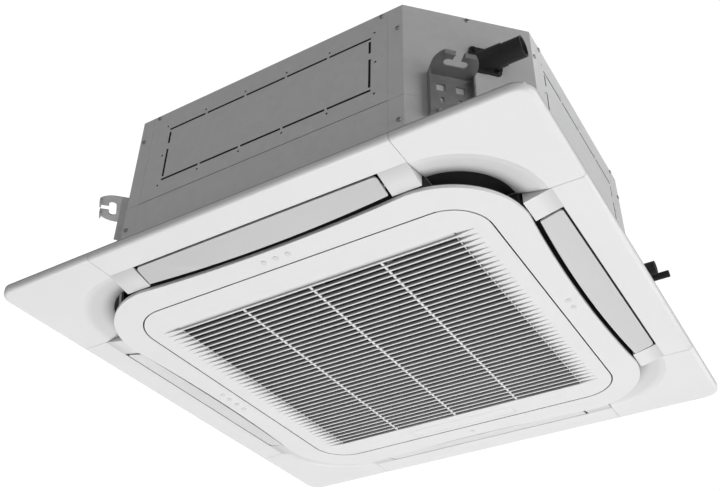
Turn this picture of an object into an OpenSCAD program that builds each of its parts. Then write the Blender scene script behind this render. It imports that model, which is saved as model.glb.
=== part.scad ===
// Ceiling cassette air conditioner with a square panel and air outlets all round.
// Millimetres. The origin is the centre of the unit on the ceiling plane, +Z up into
// the ceiling. Front is -Y, right is +X. Corners: near (+X -Y), pipe (+X +Y),
// far (-X +Y) and left (-X -Y).

/* [Panel] */
// Width of the square ceiling panel
panel_w = 950; // [940:1:960]
// Depth of the panel rim below the ceiling
panel_rim = 13; // [13:0.5:16]
// Corner radius of the panel outline
panel_r = 29; // [22:1:34]
// Rounding of the panel's lower outer edge
panel_edge_r = 6.5; // [4:0.5:6.5]
// Wall thickness of the panel mouldings
panel_wall = 2.5; // [2:0.1:3]
// Distance from the centre to the outer edge of the air outlets
outlet_out = 422; // [418:0.5:424]
// Distance from the centre to the seams of the corner covers
cover_seam = 272; // [268:0.5:276]
// Width of the seam beside a corner cover
cover_gap = 0.8; // [0.5:0.1:1.2]
// Height of the panel's upper deck above the ceiling plane
deck_top = 2; // [1:0.5:3]
// Drop of the corner decks below the ceiling plane
corner_deck_drop = 3.5; // [3:0.5:4]
// Width of the foam gasket strips on the deck
gasket_w = 14; // [10:0.5:15]

/* [Corner covers] */
// Outer radius of the scoop around the corner of the seams
scoop_out_r = 147; // [143:1:149]
// Inner radius of the scoop
scoop_in_r = 97; // [92:1:104]
// Rise of the scoop from the panel face to its inner edge
scoop_rise = 12; // [9:0.5:13]
// Angle at which the scoop leaves the panel face
scoop_edge_a = 9; // [7:0.5:10]
// Diameter of the posts that carry a cover
cover_post_d = 6; // [4:0.5:8]
// Distance of the posts from the panel edge
cover_post_in = 22; // [18:1:26]

/* [Inner frame] */
// How much lower the inner frame stands than the outer panel face
step_drop = 16; // [13:0.5:18]
// Half width of the inner frame at its corners
inner_half = 377; // [375:0.5:378]
// Half width of the inner frame at the middle of a side
inner_waist = 366.5; // [365:0.5:368]
// Corner radius of the inner frame
inner_r = 133; // [125:1:137]
// Height of the inner frame's outer side wall
inner_side = 6; // [4:0.5:8]
// Thickness of the inner frame's outer side wall
inner_side_t = 4; // [3:0.5:5]
// Height of the wall round the grille opening
inner_lip = 19; // [16:0.5:21]
// Diameter of the raised vane marker dots
dot_d = 10; // [8:0.5:12]
// Height of the raised vane marker dots
dot_h = 0.8; // [0.4:0.1:1.2]
// Distance from the centre to the rows of dots
dot_row = 346; // [343:0.5:349]
// Pitch of the dots in a row
dot_pitch = 22.5; // [18:0.5:25]
// Diameter of the bosses that carry the inner frame
boss_d = 12; // [9:0.5:14]
// Distance of the bosses from the middle of a side
boss_x = 190; // [170:1:205]

/* [Grille] */
// Half width of the intake grille
grille_half = 322.3; // [321.8:0.1:322.8]
// Corner radius of the intake grille
grille_r = 67; // [60:1:74]
// Width of the seam round the grille
grille_gap = 2.4; // [1.9:0.1:2.8]
// Thickness of the grille border
grille_t = 3; // [2.5:0.1:3.2]
// Height of the wall round the grille's back
grille_rim = 9; // [7:0.5:10]
// Depth of the slats
slat_depth = 5; // [4:0.5:6]
// Thickness of one slat
slat_t = 3; // [2.4:0.1:3.6]
// Pitch of the slats
slat_pitch = 13.1; // [12.8:0.1:13.2]
// Number of slots
slot_n = 41; // [39:2:41]
// Half length of the open slots
slot_half = 264; // [256:1:268]
// Length of the tapered ramp at the end of a slot
ramp_len = 34; // [26:1:36]
// Number of bays between the cross ribs
bay_n = 4; // [2:1:6]
// Width of the cross ribs
rib_t = 4; // [3:0.5:5]
// Set back of the cross ribs from the slat faces
rib_back = 1.5; // [1:0.5:2]

/* [Grille hinge and latch] */
// Distance from the edge of the opening out to the grille's hinge line
hinge_out = 9; // [8.5:0.1:9.5]
// Height of the hinge line above the grille face
hinge_up = 6; // [5.8:0.1:6.2]
// Distance of the hinges from the middle
hinge_x = 228; // [220:1:238]
// Diameter of the hinge pins
hinge_pin_d = 3; // [2.5:0.1:3.2]
// Width of the grille's hinge arm
hinge_lug_w = 5; // [4:0.5:6]
// Width of one fixed hinge knuckle
knuckle_w = 4; // [3.5:0.5:5]
// Length of the release bar
latch_len = 223; // [205:1:240]
// Width of the release bar
latch_w = 26; // [23:0.5:27]
// Distance from the centre to the release bar's pivot edge
latch_y = 287; // [286:0.5:288]
// Gap round the release bar
latch_gap = 0.5; // [0.3:0.1:0.7]

/* [Vanes] */
// Length of one vane
vane_len = 440; // [432:1:442]
// Length of the opening that a vane closes
vane_slot = 448; // [446:0.5:450]
// Distance from the centre to the vane's outer edge
vane_out = 418.5; // [416:0.5:419]
// Gap between the vane's inner edge and the inner frame
vane_in_gap = 8.5; // [7.5:0.5:10]
// Thickness of a vane
vane_t = 3; // [2.4:0.1:3.4]
// Radius of the vane's outer corners
vane_r = 6; // [3:0.5:8]
// Drop of the vane's outer edge below the panel face
vane_drop_out = 1; // [0.5:0.5:2]
// Drop of the vane's inner edge line below the panel face
vane_drop_in = 12; // [10:0.5:13]
// Distance from the centre to the vane's pivot
vane_pivot_y = 393; // [391:0.5:395]
// Height of the vane's pivot above the panel face
vane_pivot_up = 2; // [1:0.5:3]
// Diameter of the vane's pivot pins
vane_pin_d = 4; // [3:0.5:5]
// Width of the arms that carry the pins
vane_arm_t = 3; // [2.5:0.5:4]
// Radius of the arm's end round the pin
vane_arm_r = 4.5; // [4:0.5:5.5]
// Diameter of the vane motor
vane_motor_d = 20; // [17:0.5:21]
// Length of the vane motor
vane_motor_len = 15; // [12:0.5:18]
// Offset of the vane motor's middle above its output
vane_motor_up = 7; // [6:0.5:8]

/* [Casing] */
// Width of the casing
body_w = 840; // [836:1:842]
// Height of the casing
body_h = 319; // [310:1:330]
// Height of the casing's lower edge above the ceiling plane
body_bottom = 6; // [5.5:0.5:7]
// Thickness of the casing's sheet
sheet = 1.2; // [1:0.1:1.5]
// Leg of the cut corners
cut_leg = 152; // [148:1:156]
// Leg of the larger cut corner at the pipes
pipe_cut_leg = 262; // [256:1:266]
// Width of the corner plates' flanges
flange_w = 27; // [24:1:30]
// Width of the tab behind a flange
tab_w = 21; // [18:0.5:23]
// Depth of the top plate's inner skirt
skirt_h = 14; // [12:0.5:18]
// Height of the joint line above the casing's lower edge
joint_up = 117.5; // [110:0.5:122]
// Width of the joint line
joint_w = 1.4; // [1:0.1:2]
// Depth of the joint line
joint_depth = 0.6; // [0.4:0.1:0.8]
// Width of a panel lug
lug_w = 60; // [50:1:64]
// Reach of the panel lugs from the centre along the diagonal
lug_reach = 572; // [568:1:576]
// Depth of the corner plates' inner ledge
ledge_w = 14; // [10:0.5:16]

/* [Knock outs] */
// Width of the knock out slots
ko_slot = 4.5; // [3.5:0.5:5]
// Length pitch of the knock out slots
ko_pitch = 83; // [78:1:85]
// Height of a knock out plate
ko_h = 121; // [112:1:126]
// Height of the knock out's lower line above the casing's lower edge
ko_up = 153; // [148:1:158]
// Slots along the front, back and left knock outs
ko_n = 5; // [3:1:5]
// Slots along the right knock out
ko_right_n = 4; // [3:1:4]
// Diameter of the duct screw holes
ko_hole_d = 4; // [3:0.5:5]
// Distance of the duct screw holes from the knock out
ko_hole_out = 8; // [7:0.5:9]

/* [Hangers] */
// Pitch of the hanging rods along X
hang_pitch_x = 680; // [676:1:684]
// Pitch of the hanging rods along Y
hang_pitch_y = 780; // [776:1:784]
// Thickness of the hanger brackets
hang_t = 2.5; // [2:0.1:3]
// Width of the hanger brackets
hang_w = 72; // [68:1:76]
// Height of the hanger tab above the casing's lower edge
hang_up = 170; // [160:1:180]
// Length of the hanger's upright plate
hang_plate_h = 90; // [80:1:98]
// Width of the hanging slot
hang_slot = 13; // [11:0.5:14]
// Length of the hanging slot
hang_slot_len = 38; // [34:1:42]
// Distance from the hanging slot to the tab's end
hang_end = 22; // [20:1:25]
// Height of the tab's end lips
hang_lip = 7; // [5:0.5:9]
// Depth of the hanger's side flanges
hang_side = 14; // [10:1:16]
// Side of the windows in the upright plate
hang_window = 14; // [11:1:16]
// Diameter of the bracket screw heads
hang_bolt_d = 10; // [8:0.5:12]

/* [Insulation and drain pan] */
// Thickness of the foam liner's walls
foam_t = 15; // [12:0.5:15.5]
// Thickness of the foam liner's top
foam_top_t = 27.8; // [24:0.1:28.5]
// Height of the drain pan
pan_h = 73; // [68:1:76]
// Half width of the pan's middle opening
pan_open = 285; // [280:1:287]
// Corner radius of the pan's middle opening
pan_open_r = 60; // [50:1:80]
// Depth of the pan's trough
trough_depth = 26; // [22:1:30]
// Play between the coil and the trough's sides
trough_play = 5; // [4:0.5:6]
// Distance from the centre to the inner side of the pan's air outlets
pan_out_in = 362; // [356:0.5:364]
// Distance from the centre to the outer side of the pan's air outlets
pan_out_out = 410; // [406:0.5:411]

/* [Coil] */
// Half width of the coil
coil_half = 340; // [337:0.5:342]
// Thickness of the coil
coil_t = 38; // [34:1:40]
// Outer corner radius of the coil
coil_r = 170; // [168:1:176]
// Distance from the centre to the coil's two ends
coil_end = 150; // [140:1:156]
// Thickness of the end plates
end_t = 1.5; // [1:0.1:2]
// Overhang of the end plates
end_over = 3; // [2:0.5:3.5]
// Diameter of the coil's tubes
coil_tube_d = 9.5; // [8:0.5:10]
// Pitch of the tube rows
coil_row = 20; // [18:0.5:22]
// Pitch of the tube columns
coil_col = 19; // [17:0.5:19.5]
// Number of return bends at each end
bend_n = 11; // [8:1:11]
// Diameter of the gas header
gas_header_d = 19; // [16:0.5:20]
// Diameter of the liquid header
liquid_header_d = 12; // [10:0.5:13]
// Distance of the headers from the coil's end
header_out = 28; // [26:0.5:30]

/* [Fan] */
// Diameter of the fan wheel
fan_d = 460; // [440:2:470]
// Height of the fan wheel's blade passage at the rim
fan_gap = 118; // [105:1:122]
// Height of the fan's back plate above the ceiling plane
fan_back_z = 260; // [256:1:262]
// Thickness of the fan's mouldings
fan_t = 2.5; // [2:0.1:3]
// Inner radius of the fan's shroud ring
shroud_r = 173; // [171:0.5:175]
// Radius of the shroud's inlet curve
shroud_curve = 40; // [36:1:42]
// Height of the shroud's straight ring
shroud_ring = 16; // [12:1:18]
// Number of fan blades
blade_n = 7; // [5:1:9]
// Radius of the blade curve
blade_curve = 130; // [126:1:136]
// Distance of the blade curve's centre from the axis
blade_centre = 120; // [114:1:124]
// Radius where the blades start
blade_in_r = 140; // [134:1:146]
// Inner radius of the fan's motor cup
cup_r = 74; // [70:0.5:77]
// Depth of the fan's motor cup below the back plate
cup_depth = 57; // [54:0.5:60]
// Diameter of the fan hub
hub_d = 28; // [24:1:32]
// Height of the fan hub below the cup
hub_h = 11; // [8:0.5:14]
// Diameter of the motor shaft
shaft_d = 10; // [8:0.5:12]
// Diameter of the bell mouth's throat
throat_d = 334; // [330:1:336]
// Radius of the bell mouth's curve
bell_curve = 48; // [42:1:50]
// Height of the bell mouth's plate above the ceiling plane
bell_z = 44; // [42:0.5:46]
// Straight part of the bell mouth
bell_lip = 8; // [6:0.5:10]

/* [Fan motor] */
// Diameter of the fan motor
motor_d = 120; // [110:1:126]
// Height of the fan motor
motor_h = 68; // [62:1:72]
// Height of the motor's upper face above the ceiling plane
motor_top_z = 287; // [285:0.5:288]
// Thickness of the motor's ears
ear_t = 4; // [3:0.5:5]
// Distance of the motor's studs from the axis
stud_r = 78; // [76:0.5:82]
// Diameter of the studs
stud_d = 6; // [5:0.5:7]
// Diameter of the rubber dampers
damper_d = 18; // [15:0.5:19]
// Height of the rubber dampers
damper_h = 8; // [6:0.5:8.5]
// Diameter of the stud spacers
spacer_d = 14; // [12:0.5:15]

/* [Control box] */
// Length of the control box
box_len = 340; // [300:5:360]
// Width of the control box
box_w = 56; // [48:1:58]
// Height of the control box
box_h = 30; // [24:1:31]
// Distance from the centre to the control box's middle
box_y = 251; // [248:0.5:252]
// Wall thickness of the control box
box_t = 1.5; // [1:0.1:2]

/* [Drain pump] */
// Distance of the pump from the centre along the diagonal
pump_n = 441; // [439:0.5:443]
// Offset of the pump and the drain port from the diagonal
port_u = 25; // [23:0.5:27]
// Diameter of the pump motor
pump_d = 50; // [44:0.5:51]
// Height of the pump motor
pump_motor_h = 75; // [65:1:80]
// Diameter of the pump housing
pump_low_d = 38; // [32:0.5:42]
// Height of the pump housing
pump_low_h = 52; // [46:1:56]
// Height of the drain port above the casing's lower edge
port_up = 223; // [215:1:228]
// Outer diameter of the drain pipe
drain_d = 35; // [32:0.5:38]
// Wall of the drain pipe
drain_wall = 3; // [2:0.5:4]
// Distance from the centre to the drain pipe's end
drain_end = 427; // [420:1:432]
// Length of the drain pipe's free end, up to its collar
drain_free = 33; // [30:0.5:34]
// Thickness of the drain port's flange
port_t = 3; // [2:0.5:4]
// Diameter of the drain port's inner spigot
spigot_d = 24; // [20:0.5:26]
// Wall of the spigot
spigot_wall = 2.5; // [2:0.5:3]
// Length of the spigot behind the casing
spigot_len = 18; // [16:0.5:20]
// Wall of the drain hose
hose_wall = 3; // [2:0.5:3.5]
// Bend radius of the drain hose
hose_bend = 26; // [24:0.5:28]
// Diameter of the float
float_d = 22; // [18:0.5:24]
// Height of the float switch
float_h = 70; // [60:1:80]
// Offset of the float switch from the diagonal
float_u = 20; // [18:0.5:22]

/* [Pipes] */
// Height of the refrigerant pipes above the casing's lower edge
pipe_up = 141; // [136:1:146]
// Diameter of the gas pipe
gas_d = 15.9; // [12.7:0.1:19]
// Distance of the gas pipe from the middle
gas_y = 226; // [220:1:228]
// Distance from the centre to the gas pipe's end
gas_end = 449; // [442:1:456]
// Bend radius of the gas pipe
gas_bend = 30; // [28:1:32]
// Diameter of the liquid pipe
liquid_d = 9.5; // [6.4:0.1:9.6]
// Distance of the liquid pipe from the middle
liquid_y = 258; // [256:0.5:260]
// Distance from the centre to the liquid pipe's end
liquid_end = 465; // [458:1:470]
// Bend radius of the liquid pipe
liquid_bend = 20; // [18:1:21]
// Wall of the black pipe sleeves
sleeve_wall = 5; // [3:0.5:6]
// Wall of the liquid pipe's sleeve
liquid_sleeve_wall = 2; // [1:0.5:3]

/* [Filter] */
// Half width of the filter
filter_half = 284; // [280:1:285]
// Thickness of the filter frame
filter_t = 6; // [4:0.5:6.5]
// Width of the filter frame's edge
filter_edge = 14; // [10:1:18]
// Width of the filter frame's ribs
filter_rib = 4; // [3:0.5:6]
// Number of cells across the filter frame
filter_n = 5; // [3:1:7]
// Thickness of the filter net
net_t = 0.6; // [0.5:0.1:1]

/* [Fasteners] */
// Diameter of the casing screws
screw_d = 4; // [3:0.5:5]
// Diameter of the casing screws' heads
screw_head_d = 8; // [7:0.5:9]
// Height of the casing screws' heads
screw_head_h = 2.4; // [1.8:0.1:3]
// Inset of a screw from the flange's edge
screw_in = 9; // [7:0.5:11]
// Distance of the top screws from the middle of a side
top_screw_x = 230; // [224:1:234]
// Drop of the top screws below the casing's top
top_screw_down = 6.5; // [5.5:0.5:8]
// Height of the lower flange screws above the casing's lower edge
screw_low = 70; // [60:1:80]
// Height of the upper flange screws above the casing's lower edge
screw_high = 268; // [260:1:280]
// Diameter of the panel screws
panel_screw_d = 5; // [4:0.5:6]
// Diameter of the panel screws' heads
panel_head_d = 12; // [10:0.5:14]
// Height of the panel screws' heads
panel_head_h = 3.5; // [2.5:0.1:3.8]
// Distance of the panel screws from the centre along the diagonal
panel_screw_n = 555; // [552:1:558]

/* [Clearances] */
// Running clearance of a pin or shaft in its bore, on the radius
run_gap = 0.05; // [0.03:0.01:0.08]
// Clearance between fixed pieces that slide together
fit_gap = 0.3; // [0.2:0.05:0.5]
// Play of a screw in its hole, on the radius
screw_gap = 0.2; // [0.1:0.05:0.3]
// Play of a pipe in its hole, on the radius
pipe_gap = 0.6; // [0.5:0.1:1]

/* [Hidden] */
$fn = 64;
wide_fn = 720;
over = 1;
root2 = sqrt(2);
sides = [0, 1, 2, 3];
ends = [-1, 1];

// Panel levels and places
half = panel_w / 2;
face_z = -panel_rim;
low_z = face_z - step_drop;
side_top = low_z + inner_side;
deck_z = deck_top - panel_wall;
corner_deck_z = -corner_deck_drop - panel_wall;
corner_c = inner_half - inner_r;
waist_sag = inner_half - inner_waist;
waist_R = (corner_c * corner_c + waist_sag * waist_sag) / (2 * waist_sag);
waist_c = inner_waist + waist_R;
open_half = grille_half + grille_gap;
open_r = grille_r + grille_gap;
deck_in = open_half + 2 * panel_wall;
duct_in = panel_wall / 2;
beam_in = inner_half + duct_in;
strip_len = 2 * cover_seam - cover_gap;
pocket_r = inner_r - 14 * panel_wall;
boss_y = (open_half + inner_waist) / 2;
dot_counts = [3, 2, 1, 4];
// Height of the beams' lower face, sloping from the outer panel to the inner frame
function beam_z(d) = face_z - (outlet_out - d) / (outlet_out - inner_half) * (step_drop - inner_side);

// Grille hinge and latch
hinge_z = low_z + hinge_up;
hinge_y = open_half + hinge_out;
lug_r = hinge_up - panel_wall - 2 * fit_gap;
arm_in_z = hinge_z + sqrt(pow(hinge_out, 2) + pow(hinge_up, 2)) + 2 * fit_gap;
arm_top = arm_in_z + grille_t;
pin_len = hinge_lug_w + 2 * (knuckle_w + fit_gap);
latch_bar_share = 1 / 3;
latch_pin_d = 2 * latch_bar_share * grille_t;
latch_axis_y = latch_y + grille_t;
latch_axis_z = low_z + grille_t + latch_pin_d / 2;
latch_ear_t = grille_t;
hook_w = knuckle_w * 4;
hook_x = latch_len / 3;
hook_z = latch_axis_z + grille_rim;
slot_w = slat_pitch - slat_t;
slot_last = (slot_n - 1) / 2 * slat_pitch;
bay_w = 2 * slot_half / bay_n;
ramp_a = atan(slat_depth / ramp_len);
// Half width of a ramp's open end as a share of the slot
ramp_share = 0.48;
filter_z = low_z + slat_depth;

// Vanes
pivot_z = face_z + vane_pivot_up;
motor_x = vane_slot / 2 + panel_wall + fit_gap;
gear_share = 0.55;
function vane_z(d) = face_z - vane_drop_out
    - (vane_out - d) / (vane_out - inner_half) * (vane_drop_in - vane_drop_out);

// Casing
body_half = body_w / 2;
// Reach of the outer gasket past the casing
over_skirt = outlet_out + panel_wall - body_half - sheet / 2;
body_top = body_bottom + body_h;
legs = [cut_leg, pipe_cut_leg, cut_leg, cut_leg];
inner_skin = 2 * sheet + fit_gap;
foam_in = inner_skin + foam_t;
pan_z = body_bottom + sheet;
pan_top = pan_z + pan_h;
foam_top = body_top - sheet;
foam_low = foam_top - foam_top_t;
trough_z = pan_top - trough_depth;
coil_in = coil_half - coil_t;
hang_n = (hang_pitch_x + hang_pitch_y) / 2 / root2;
hang_u = (hang_pitch_y - hang_pitch_x) / 2 / root2;
hang_z = body_bottom + hang_up;
function face_n(k) = (2 * body_half - legs[k]) / root2;
function flange_start(k) = body_half - legs[k] - flange_w;
function hang_side_u(k) = (k % 2 == 0 ? -1 : 1) * hang_u;
function turn_in(leg, e) = leg - e * (2 - root2);
slot_cut = body_half + over_skirt - gasket_w - turn_in(legs[1], gasket_w - over_skirt);
pipe_z = body_bottom + pipe_up;
port_z = body_bottom + port_up;

// Fan
motor_low_z = motor_top_z - motor_h - ear_t;
cup_z = fan_back_z - cup_depth;
hub_z = cup_z - hub_h;
fan_low_z = fan_back_z - fan_gap;
throat_r = throat_d / 2;
bell_top = bell_z + bell_curve + bell_lip;
shroud_z = fan_low_z - shroud_curve;

// ---- helpers ----
module on_side(k) rotate([0, 0, 90 * k]) children();
module on_corner(k) rotate([0, 0, 90 * k - 45]) children();
module slab(z0, z1) translate([0, 0, z0]) linear_extrude(z1 - z0) children();
// Extrudes an outline of (distance outward, height) along the front side
module run(len, at = 0) translate([at, 0, 0]) rotate([90, 0, -90])
    linear_extrude(len, center = true) children();
module box(a, b) translate(a) cube([b[0] - a[0], b[1] - a[1], b[2] - a[2]]);
module rect(a, b) translate(a) square([b[0] - a[0], b[1] - a[1]]);
module tube(r1, r0, h) difference() {
    cylinder(r = r1, h = h);
    translate([0, 0, -over]) cylinder(r = r0, h = h + 2 * over);
}
module rrect(a, b, r) {
    square([2 * a, 2 * (b - r)], center = true);
    square([2 * (a - r), 2 * b], center = true);
    for (i = ends, j = ends) translate([i * (a - r), j * (b - r)]) circle(r);
}
module rsq(h, r) rrect(h, h, r);
// Casing outline, inset by e
module casing_outline(e) {
    h = body_half - e;
    c = [for (l = legs) h - turn_in(l, e)];
    polygon([[-c[3], -h], [c[0], -h], [h, -c[0]], [h, c[1]], [c[1], h], [-c[2], h], [-h, c[2]], [-h, -c[3]]]);
}
// Outline of the inner frame with its drawn in sides, inset by e
module inner_outline(e) difference() {
    rsq(inner_half - e, inner_r - e);
    for (k = sides) on_side(k) translate([0, -waist_c]) circle(waist_R + e, $fn = wide_fn);
}
// Intake opening of the deck, held inside the cut pipe corner, grown by e
module intake(e) intersection() {
    rsq(deck_in + e, open_r + 2 * panel_wall + e);
    casing_outline(ledge_w + gasket_w + fit_gap - e);
}
// Pocket that feeds a corner outlet, grown by e
module pocket(k, e) on_side(k) difference() {
    rect([cover_seam - e, -inner_half], [inner_half, e - cover_seam]);
    translate([corner_c, -corner_c]) circle(pocket_r - e);
}

// ---- panel ----
module rim_shape(t) {
    up = t > 0 ? over : 0;
    rect([outlet_out + t, face_z + t], [half - panel_edge_r, up]);
    rect([outlet_out + t, face_z + panel_edge_r], [half - t, up]);
    translate([half - panel_edge_r, face_z + panel_edge_r]) circle(panel_edge_r - t);
}
module beam_shape(t) {
    top = t > 0 ? deck_top + over : deck_top;
    d = beam_in + t;
    polygon([[d, beam_z(d) + t], [outlet_out, face_z + t], [outlet_out, top], [d, top]]);
}
module beam_window(m) let (a = m > 0 ? 0 : panel_wall)
    rect([vane_slot / 2 + panel_wall + a, -vane_pivot_y - vane_motor_d / 2 - fit_gap],
        [cover_seam - panel_wall, -vane_pivot_y + vane_motor_d / 2 + fit_gap]);
module panel_frame() color("white") difference() {
    union() {
        for (k = sides) on_side(k) {
            run(strip_len) difference() {
                union() {
                    rim_shape(0);
                    rect([outlet_out, -over], [outlet_out + panel_wall, deck_top]);
                }
                rim_shape(panel_wall);
            }
            for (m = ends) {
                mid = m * (vane_slot / 2 + cover_seam - cover_gap / 2) / 2;
                len = cover_seam - cover_gap / 2 - vane_slot / 2;
                difference() {
                    run(len, mid) beam_shape(0);
                    run(len - 2 * panel_wall, mid) beam_shape(panel_wall);
                }
            }
            // Deck under a corner cover, with the boss that the panel screw goes through
            difference() {
                slab(corner_deck_z, -corner_deck_drop) difference() {
                    rect([cover_seam - 4 * panel_wall, panel_wall + fit_gap - half],
                        [half - panel_wall - fit_gap, 4 * panel_wall - cover_seam]);
                    translate([cover_seam, -cover_seam]) circle(scoop_out_r + panel_wall);
                    translate([half - panel_r, panel_r - half]) difference() {
                        rect([0, -panel_r], [panel_r, 0]);
                        circle(panel_r - panel_wall - fit_gap);
                    }
                }
                on_corner(0) translate([panel_screw_n, 0, corner_deck_z - over])
                    cylinder(r = panel_screw_d / 2 + screw_gap, h = panel_wall + 2 * over);
            }
            on_corner(0) translate([panel_screw_n, 0, corner_deck_z])
                tube(panel_head_d * 3 / 4, panel_screw_d / 2 + screw_gap, body_bottom - corner_deck_z);
        }
        slab(deck_z, deck_top) difference() {
            union() {
                inner_outline(0);
                for (k = sides, m = ends) on_side(k)
                    mirror([m > 0 ? 0 : 1, 0]) difference() {
                        rect([vane_slot / 2, -outlet_out], [cover_seam - cover_gap / 2, -inner_waist]);
                        beam_window(m);
                    }
            }
            intake(0);
            for (k = sides) pocket(k, 0);
            for (k = sides) on_side(k) beam_window(1);
        }
        // Plates that close the slots where they pass the cut pipe corner
        slab(deck_z, deck_top) difference() {
            for (m = ends) on_side(m > 0 ? 1 : 2) rect([m > 0 ? slot_cut : -vane_slot / 2 - panel_wall / 2, -outlet_out - panel_wall / 2],
                [m > 0 ? vane_slot / 2 + panel_wall / 2 : -slot_cut, -inner_waist]);
            casing_outline(gasket_w - over_skirt);
        }
    }
    for (k = sides) on_side(k) translate([-cover_seam, -vane_pivot_y, pivot_z]) rotate([0, 90, 0])
        for (x = [cover_seam - vane_slot / 2 - panel_wall - over, cover_seam + vane_slot / 2 - over])
            translate([0, 0, x]) cylinder(r = vane_pin_d / 2 + run_gap, h = panel_wall + 2 * over);
}
module corner_cover(k) color("white") on_side(k) {
    lo = cover_seam + cover_gap / 2;
    flat_len = half - panel_r - lo;
    cc = half - panel_r;
    // Rim, straight beside the corner and turned round it
    for (s = [0, 1]) mirror([s, s]) translate([lo + flat_len / 2, 0, 0]) run(flat_len) cover_rim();
    translate([cc, -cc, 0]) rotate([0, 0, -90]) rotate_extrude(angle = 90)
        translate([-cc, 0]) difference() {
            cover_rim_solid(0);
            cover_rim_solid(panel_wall);
            rect([0, face_z - over], [cc, over]);
        }
    slab(face_z, face_z + panel_wall) difference() {
        union() {
            rect([lo, -cc], [half - panel_edge_r, -lo]);
            rect([lo, panel_edge_r - half], [cc, -lo]);
            translate([cc, -cc]) circle(panel_r - panel_edge_r);
        }
        translate([cover_seam, -cover_seam]) circle(scoop_out_r);
    }
    // Scoop above the corner outlet
    w = scoop_out_r - scoop_in_r;
    R = norm([w, scoop_rise]) / (2 * sin(atan(scoop_rise / w) - scoop_edge_a));
    translate([lo, -lo, 0]) rotate([0, 0, -90]) rotate_extrude(angle = 90) intersection() {
        translate([scoop_out_r + R * sin(scoop_edge_a), face_z + R * cos(scoop_edge_a)]) difference() {
            circle(R, $fn = wide_fn);
            circle(R - panel_wall, $fn = wide_fn);
        }
        rect([scoop_in_r, face_z], [scoop_out_r, 0]);
    }
    // Posts that stand on the corner deck
    for (p = [[half - cover_post_in, lo + cover_post_in], [lo + cover_post_in, half - cover_post_in],
            [cc, cc]])
        translate([p[0], -p[1], face_z + panel_wall / 2])
            cylinder(d = cover_post_d, h = corner_deck_z - face_z - panel_wall / 2);
}
module cover_rim_solid(t) {
    up = t > 0 ? over : 0;
    rect([half - 2 * panel_edge_r, face_z + t], [half - panel_edge_r, up]);
    rect([half - 2 * panel_edge_r, face_z + panel_edge_r], [half - t, up]);
    translate([half - panel_edge_r, face_z + panel_edge_r]) circle(panel_edge_r - t);
}
module cover_rim() difference() {
    cover_rim_solid(0);
    cover_rim_solid(panel_wall);
}
module inner_frame() color("white") difference() {
    union() {
        slab(low_z, low_z + panel_wall) difference() {
            inner_outline(0);
            rsq(open_half, open_r);
        }
        slab(low_z, side_top) difference() {
            inner_outline(0);
            inner_outline(inner_side_t);
        }
        slab(low_z, low_z + inner_lip) difference() {
            rsq(open_half + panel_wall, open_r + panel_wall);
            rsq(open_half, open_r);
            // Gaps where the hinge arms pass
            for (m = ends) rect([m * hinge_x - pin_len / 2, -open_half - panel_wall - over],
                [m * hinge_x + pin_len / 2, over - open_half]);
        }
        for (k = sides) on_side(k) {
            for (m = ends) translate([m * boss_x, -boss_y, low_z + panel_wall / 2])
                cylinder(d = boss_d, h = deck_z - low_z - panel_wall / 2);
            for (i = [0:dot_counts[k] - 1])
                translate([(i - (dot_counts[k] - 1) / 2) * dot_pitch, -dot_row, low_z - dot_h])
                    cylinder(d = dot_d, h = dot_h + panel_wall / 2);
        }
        // Fixed knuckles of the grille hinge
        for (m = ends, n = ends)
            run(knuckle_w, m * (hinge_x + n * (hinge_lug_w / 2 + fit_gap + knuckle_w / 2))) {
                translate([hinge_y, hinge_z]) circle(lug_r);
                rect([hinge_y - lug_r, low_z + panel_wall / 2], [hinge_y + lug_r, hinge_z]);
            }
    }
    for (m = ends) run(pin_len + 2 * over, m * hinge_x)
        translate([hinge_y, hinge_z]) circle(hinge_pin_d / 2 + run_gap);
    for (k = sides, m = ends) on_side(k) translate([m * boss_x, -boss_y, low_z + panel_wall])
        cylinder(d = screw_d - 2 * screw_gap, h = deck_z - low_z);
}
module outlet_duct() color("dimgray") {
    slab(side_top, deck_z) difference() {
        inner_outline(duct_in);
        difference() {
            inner_outline(duct_in + panel_wall);
            for (k = sides) pocket(k, panel_wall);
        }
        for (k = sides) pocket(k, 0);
    }
    slab(side_top, side_top + panel_wall) intersection() {
        inner_outline(duct_in);
        for (k = sides) pocket(k, panel_wall);
    }
}
module panel_gasket() color("darkgray") {
    slab(deck_top, body_bottom) difference() {
        casing_outline(-over_skirt);
        casing_outline(gasket_w - over_skirt);
    }
    slab(deck_top, pan_z) difference() {
        intake(gasket_w);
        intake(0);
        for (k = sides) pocket(k, 0);
    }
}
module panel_screws() color("silver") for (k = sides) on_corner(k) translate([panel_screw_n, 0, 0]) {
    translate([0, 0, corner_deck_z - panel_head_h]) cylinder(d = panel_head_d, h = panel_head_h);
    translate([0, 0, corner_deck_z - over]) cylinder(d = panel_screw_d, h = body_bottom + sheet * 3 - corner_deck_z + over);
}

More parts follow.
